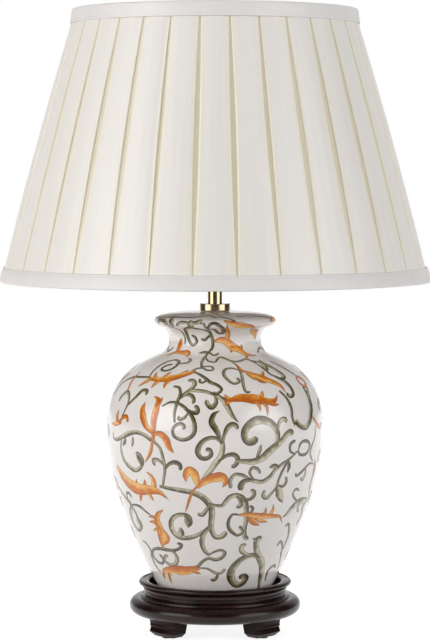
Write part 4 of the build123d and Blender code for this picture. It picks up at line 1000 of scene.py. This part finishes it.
def pleated_cover():
    """Cover of box pleats as a function of the turn round the shade and of the height.

    Each pleat is a panel between two grooves. Across the half pleat the radius falls slightly to the panel's
    edge, with soft ripples, rolls over the fold and drops to the groove's floor. Groove width, groove depth
    and radius swell with a parabola of the height, and each pleat differs a little from the next.
    """
    z = np.linspace(SHADE_LOW + HEM_GAP, SHADE_HIGH - HEM_GAP, COVER_ROWS)[:, None, None]
    share = np.clip((z - SHADE_LOW - TRIM_HEIGHT) / (SHADE_HIGH - SHADE_LOW - 2 * TRIM_HEIGHT), 0, 1)
    swell = 4 * share * (1 - share)
    face = frame_radius(z) + COVER_OUT + BULGE * swell
    at_hem = GROOVE_LOW + (GROOVE_HIGH - GROOVE_LOW) * share
    groove = at_hem + (GROOVE_MIDDLE - at_hem) * swell
    half = half_pleat()
    last = len(half[0]) - 1
    order = np.concatenate([np.arange(last, 0, -1), np.arange(last)])
    side = np.where(np.arange(2 * last) < last, -1.0, 1.0)
    place, into, drop, measure = (values[order] for values in half)
    wander = dice.normal(size=(3, 1, PLEATS + 1, 1))
    wander[:, :, -1] = wander[:, :, 0]
    widths, leans = (np.where(side < 0, w[:, :-1], w[:, 1:]) for w in wander[:2])
    width = groove * (1 + WIDTH_CHANGE * widths)
    half_panel = face * TAU / PLEATS / 2 - width / 2
    x = side * (half_panel * place + width / 2 * into) + LEAN_CHANGE * swell * leans * place
    in_groove, on_panel = measure > 1, measure < 1
    deep = PANEL_CROWN + (drop - PANEL_CROWN) * (HEM_SHARE + (1 - HEM_SHARE) * swell)
    fall = np.where(in_groove, deep, drop * (1 + CROWN_CHANGE * wander[2][:, :-1]))
    ripples = np.abs(dice.normal(size=(1, PLEATS, len(place))))
    radius = face - fall - RIPPLE * np.where(on_panel, ripples, 0)
    pleat = np.arange(PLEATS)[None, :, None]
    angle = FRONT + pleat * TAU / PLEATS + x / face
    points = round_axis(radius, angle, z)
    cloth = np.stack(np.broadcast_arrays(x + pleat * PLEAT_STEP, z, measure), axis=-1)
    return points.reshape(-1, 3), grid_quads(COVER_ROWS, PLEATS * len(place), False, True), cloth.reshape(-1, 3)


def lining_outline():
    """Thin cone inside the wire frame."""
    z = np.linspace(LINING_LOW, SHADE_HIGH - HEM_GAP, 30)
    outside, inside = (np.stack([frame_radius(z) - off, z], axis=1) for off in (LINING_OUT, LINING_IN))
    return np.vstack([outside, inside[::-1]])


# Fold of a binding: heights off its edge and how far in from its side; then where its straight sides start
FOLD_RISES, FOLD_INSETS, FOLD_TOP = np.array([0.45, 0.08, 0.0]), np.array([0.3, 1.0, 2.0]), 0.9
# Seam of a binding: degrees past it and how far its outside stands out there, in shares of the lap's thickness
SEAM_TURNS, SEAM_RISES, LAP_END, LAP_THICK = (-0.4, 0.0, 0.1, 0.5), (0, -0.9, -0.3, 1), (30, 33), 0.9
PUCKER, PUCKER_COUNTS, PUCKER_PHASE = 0.12, (29, 11), 1.7  # small waves round a binding
BINDINGS = (  # name, edge, way up from the edge, roll outward, fullness, seam
    ("top_binding", SHADE_HIGH, -1, 1.9, 0.2, 160),
    ("bottom_binding", SHADE_LOW, 1, 0.0, 0.5, 65),
)


def binding_section(edge, up, roll, fullness):
    """Soft channel section of a binding, and 1 for its points outside.

    It runs up the outside, which swells by a sine of its height, and back down the inside.
    """
    h = np.linspace(0, 1, 16)
    swell = fullness * np.sin(np.pi * h) ** 0.8
    outer_z, inner_z = (edge + up * (FOLD_TOP + (top - FOLD_TOP) * h) for top in (TRIM_HEIGHT, TRIM_TURN_IN))
    outer = frame_radius(outer_z) + TRIM_OUT + roll * (1 - h)
    inner = frame_radius(inner_z) - TRIM_IN
    fold_z = edge + up * FOLD_RISES
    fold_out = frame_radius(fold_z) + TRIM_OUT + roll - FOLD_INSETS
    fold_in = frame_radius(fold_z) - TRIM_IN + FOLD_INSETS
    outside = np.vstack([np.stack([fold_out, fold_z], 1)[::-1], np.stack([outer + swell, outer_z], 1)])
    back = [np.stack([outer - TRIM_LEAF, outer_z], 1)[::-1], np.stack([inner + TRIM_LEAF, inner_z], 1)]
    inside = [np.stack([inner, inner_z], 1)[::-1], np.stack([fold_in, fold_z], 1)[::-1]]
    section = np.vstack([outside, *back, *inside])
    shown = np.where(np.arange(len(section)) < len(outside), 1.0, 0.0)
    return section[::up], shown[::up]


def binding(edge, up, roll, fullness, seam, segments=240):
    """Folded strip over an edge of the shade: its section carried round, with a lap past its seam.

    At the seam, given in degrees from the front, the outside dips and then stands out as far as the lap goes.
    """
    section, shown = binding_section(edge, up, roll, fullness)
    shown = shown[:, None]
    start = FRONT + np.radians(seam)
    a = np.concatenate([np.linspace(0, TAU, segments, endpoint=False), (start + np.radians(SEAM_TURNS)) % TAU])
    a = np.sort(a)[None, :]
    past = np.degrees((a - start + np.pi) % TAU - np.pi)
    lap = np.interp(past, (*SEAM_TURNS, *LAP_END), (*SEAM_RISES, 1, 0))
    waves = np.sin(a * PUCKER_COUNTS[0] + PUCKER_PHASE) * np.sin(a * PUCKER_COUNTS[1])
    r, z = section[:, :1] + (LAP_THICK * lap + PUCKER * waves) * shown, section[:, 1:]
    cloth = np.stack(np.broadcast_arrays(r * a, np.abs(z - edge), shown), axis=-1)
    points = round_axis(r, a, z)
    return points.reshape(-1, 3), grid_quads(len(section), a.size, True, True), cloth.reshape(-1, 3)


cover_points, cover_quads, cover_cloth = pleated_cover()
cover = new_piece("pleated_cover", cover_points, cover_quads, PLEATS_CLOTH, "shade", "ivory_fabric",
                  {"cloth": cover_cloth})
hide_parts("shade_cover")

lining_mesh = turned(lining_outline(), segments=160)
lining = new_piece("smooth_lining", *lining_mesh, FINISHES["lining_fabric"], "shade", "lining_fabric")
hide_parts("shade_lining")

for name, *shape in BINDINGS:
    points, quads, strip = binding(*shape)
    trim = new_piece(name, points, quads, BINDING, "shade", "trim_fabric", {"cloth": strip})
    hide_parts(name.replace("binding", "trim"))


# Felt pads

def pad_outline(soft=0.4, pole=0.01):
    """Disc of felt with soft edges."""
    low = arc((PAD_R - soft, soft), soft, -90, 0, 5)
    high = arc((PAD_R - soft, PAD_THICK - soft), soft, 0, 90, 5)
    return np.vstack([[(pole, 0.0)], low, high, [(pole, PAD_THICK)]])


pad_points, pad_quads = turned(pad_outline(), segments=40)
for i in range(4):
    turn = np.radians(45 + 90 * i)
    place = PAD_CIRCLE * np.array((np.cos(turn), np.sin(turn), 0))
    pad = new_piece(f"felt_disc_{i + 1}", pad_points + place, pad_quads, FINISHES["felt"], "base", "felt")
    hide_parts(f"felt_pad_{i + 1}")


# Floor, light and camera, in metres

FLOOR_CORNERS, FLOOR_Z, FLOOR_WHITE = ((-4, -4), (4, -4), (4, 6), (-4, 6)), -0.0003, 0.86
UP, BACK = (0, 0, 1), (0, 1, 0)
ROOM, CEILING, PAPER = 0.04, 0.35, 0.5  # light of the room, its ceiling and the paper round the backdrop
SCREENS = (((-0.81, -0.57, 0.12), 3.4), ((0.81, -0.57, 0.12), 2.8))  # way to each soft screen and its light
LAMP_AIM = Vector((0, 0, 0.35))
LAMPS = (  # name, place, size, watts, colour
    ("key_left", (-2.3, -1.25, 0.68), (2.0, 1.25), 30, (1.0, 0.985, 0.965)),
    ("fill_right", (2.4, -1.0, 0.68), (2.0, 1.25), 22, (0.98, 0.985, 1.0)),
    ("back_soft", (0.9, 2.2, 1.7), (1.6, 1.2), 16, (1, 1, 1)),
)
CAMERA_PLACE, CAMERA_TILT = (0.0, -2.377, 0.4426), 3.51  # tilt in degrees down
FILM_HEIGHT, LENS = 36.0, 140.7  # millimetres


def seen_rays(n):
    """Share of rays that show a background: those from the camera, off gloss and through glass."""
    path = n.add("ShaderNodeLightPath")
    bent = n.math("MAXIMUM", path.outputs["Is Glossy Ray"], path.outputs["Is Transmission Ray"])
    return n.math("MAXIMUM", path.outputs["Is Camera Ray"], bent)


def floor_finish():
    """Pale floor that shows nearly white, keeps the lamp's shadow and lets the view from below through."""
    material, n, shader = new_material("pale_floor", 0.8)
    made = n.group(MOTTLING, Vector=n.place(), Colour=srgb(178, 177, 176), Strength=0.01, Scale=4.0)
    n.link(made["Colour"], shader["Base Color"])
    n.link(n.times(seen_rays(n), FLOOR_WHITE), shader["Emission Strength"])
    shader["Emission Color"].default_value = WHITE
    side = n.add("ShaderNodeMixShader")
    surface = n.tree.nodes["Material Output"].inputs["Surface"]
    n.link(n.add("ShaderNodeNewGeometry").outputs["Backfacing"], side.inputs[0])
    n.link(surface.links[0].from_socket, side.inputs[1])
    n.link(n.add("ShaderNodeBsdfTransparent").outputs[0], side.inputs[2])
    n.link(side.outputs[0], surface)
    return material


def toward(n, direction, aim, wide, narrow):
    """Soft patch of a direction round an aim: 0 at the cosine wide, 1 at the cosine narrow, squared."""
    node = n.add("ShaderNodeVectorMath", operation="DOT_PRODUCT")
    n.link(direction, node.inputs[0])
    node.inputs[1].default_value = aim
    return n.math("POWER", n.span(node.outputs["Value"], wide, narrow), 2.0)


def studio_world():
    """White backdrop behind the lamp in a dim room, with a paler ceiling and a soft white screen at each side.

    Straight and through glass the view is white all round; gloss shows the backdrop and the screens.
    """
    world = bpy.data.worlds.new("studio")
    world.use_nodes = True
    world.node_tree.nodes.clear()
    n = Nodes(world.node_tree)
    direction = n.add("ShaderNodeTexCoord").outputs["Generated"]
    path = n.add("ShaderNodeLightPath")
    room = n.plus(ROOM, n.times(toward(n, direction, UP, wide=0.3, narrow=0.95), CEILING))
    left, right = (n.times(toward(n, direction, way, wide=0.83, narrow=0.97), light) for way, light in SCREENS)
    room = n.plus(room, n.plus(left, right))
    paper = n.times(toward(n, direction, BACK, wide=0.4, narrow=0.9), PAPER)
    backdrop = n.math("MAXIMUM", paper, toward(n, direction, BACK, wide=0.9, narrow=0.98))
    straight = n.math("MAXIMUM", path.outputs["Is Camera Ray"], path.outputs["Is Transmission Ray"])
    # Mix node from the room's light to full white; its values are its inputs 2 and 3
    light = n.add("ShaderNodeMix", data_type="FLOAT")
    n.link(n.math("MAXIMUM", straight, backdrop), light.inputs[0])
    n.link(room, light.inputs[2])
    light.inputs[3].default_value = 1.0
    sky = n.add("ShaderNodeBackground")
    sky.inputs["Color"].default_value = WHITE
    n.link(light.outputs[0], sky.inputs["Strength"])
    n.link(sky.outputs[0], n.add("ShaderNodeOutputWorld").inputs["Surface"])
    return world


def softbox(name, place, size, power, colour):
    """Rectangular lamp at a place, turned to the aim; gloss shows the world's soft screens in its stead."""
    lamp = bpy.data.lights.new(name, "AREA")
    lamp.shape = "RECTANGLE"
    lamp.size, lamp.size_y = size
    lamp.energy = power
    lamp.color = colour
    holder = bpy.data.objects.new(name, lamp)
    holder.location = place
    holder.visible_glossy = False
    holder.rotation_euler = (Vector(place) - LAMP_AIM).to_track_quat("Z", "Y").to_euler()
    bpy.context.scene.collection.objects.link(holder)


floor_mesh = bpy.data.meshes.new("floor")
floor_mesh.from_pydata([(x, y, FLOOR_Z) for x, y in FLOOR_CORNERS], [], [(0, 1, 2, 3)])
floor_mesh.materials.append(floor_finish())
floor = bpy.data.objects.new("floor", floor_mesh)
bpy.context.scene.collection.objects.link(floor)

bpy.context.scene.world = studio_world()
for lamp in LAMPS:
    softbox(*lamp)

camera = bpy.data.cameras.new("camera")
camera.sensor_fit = "VERTICAL"
camera.sensor_height = FILM_HEIGHT
camera.lens = LENS
eye = bpy.data.objects.new("camera", camera)
eye.location = CAMERA_PLACE
eye.rotation_euler = (np.radians(90 - CAMERA_TILT), 0, 0)
bpy.context.scene.collection.objects.link(eye)
bpy.context.scene.camera = eye
bpy.context.scene.view_settings.view_transform = "Standard"
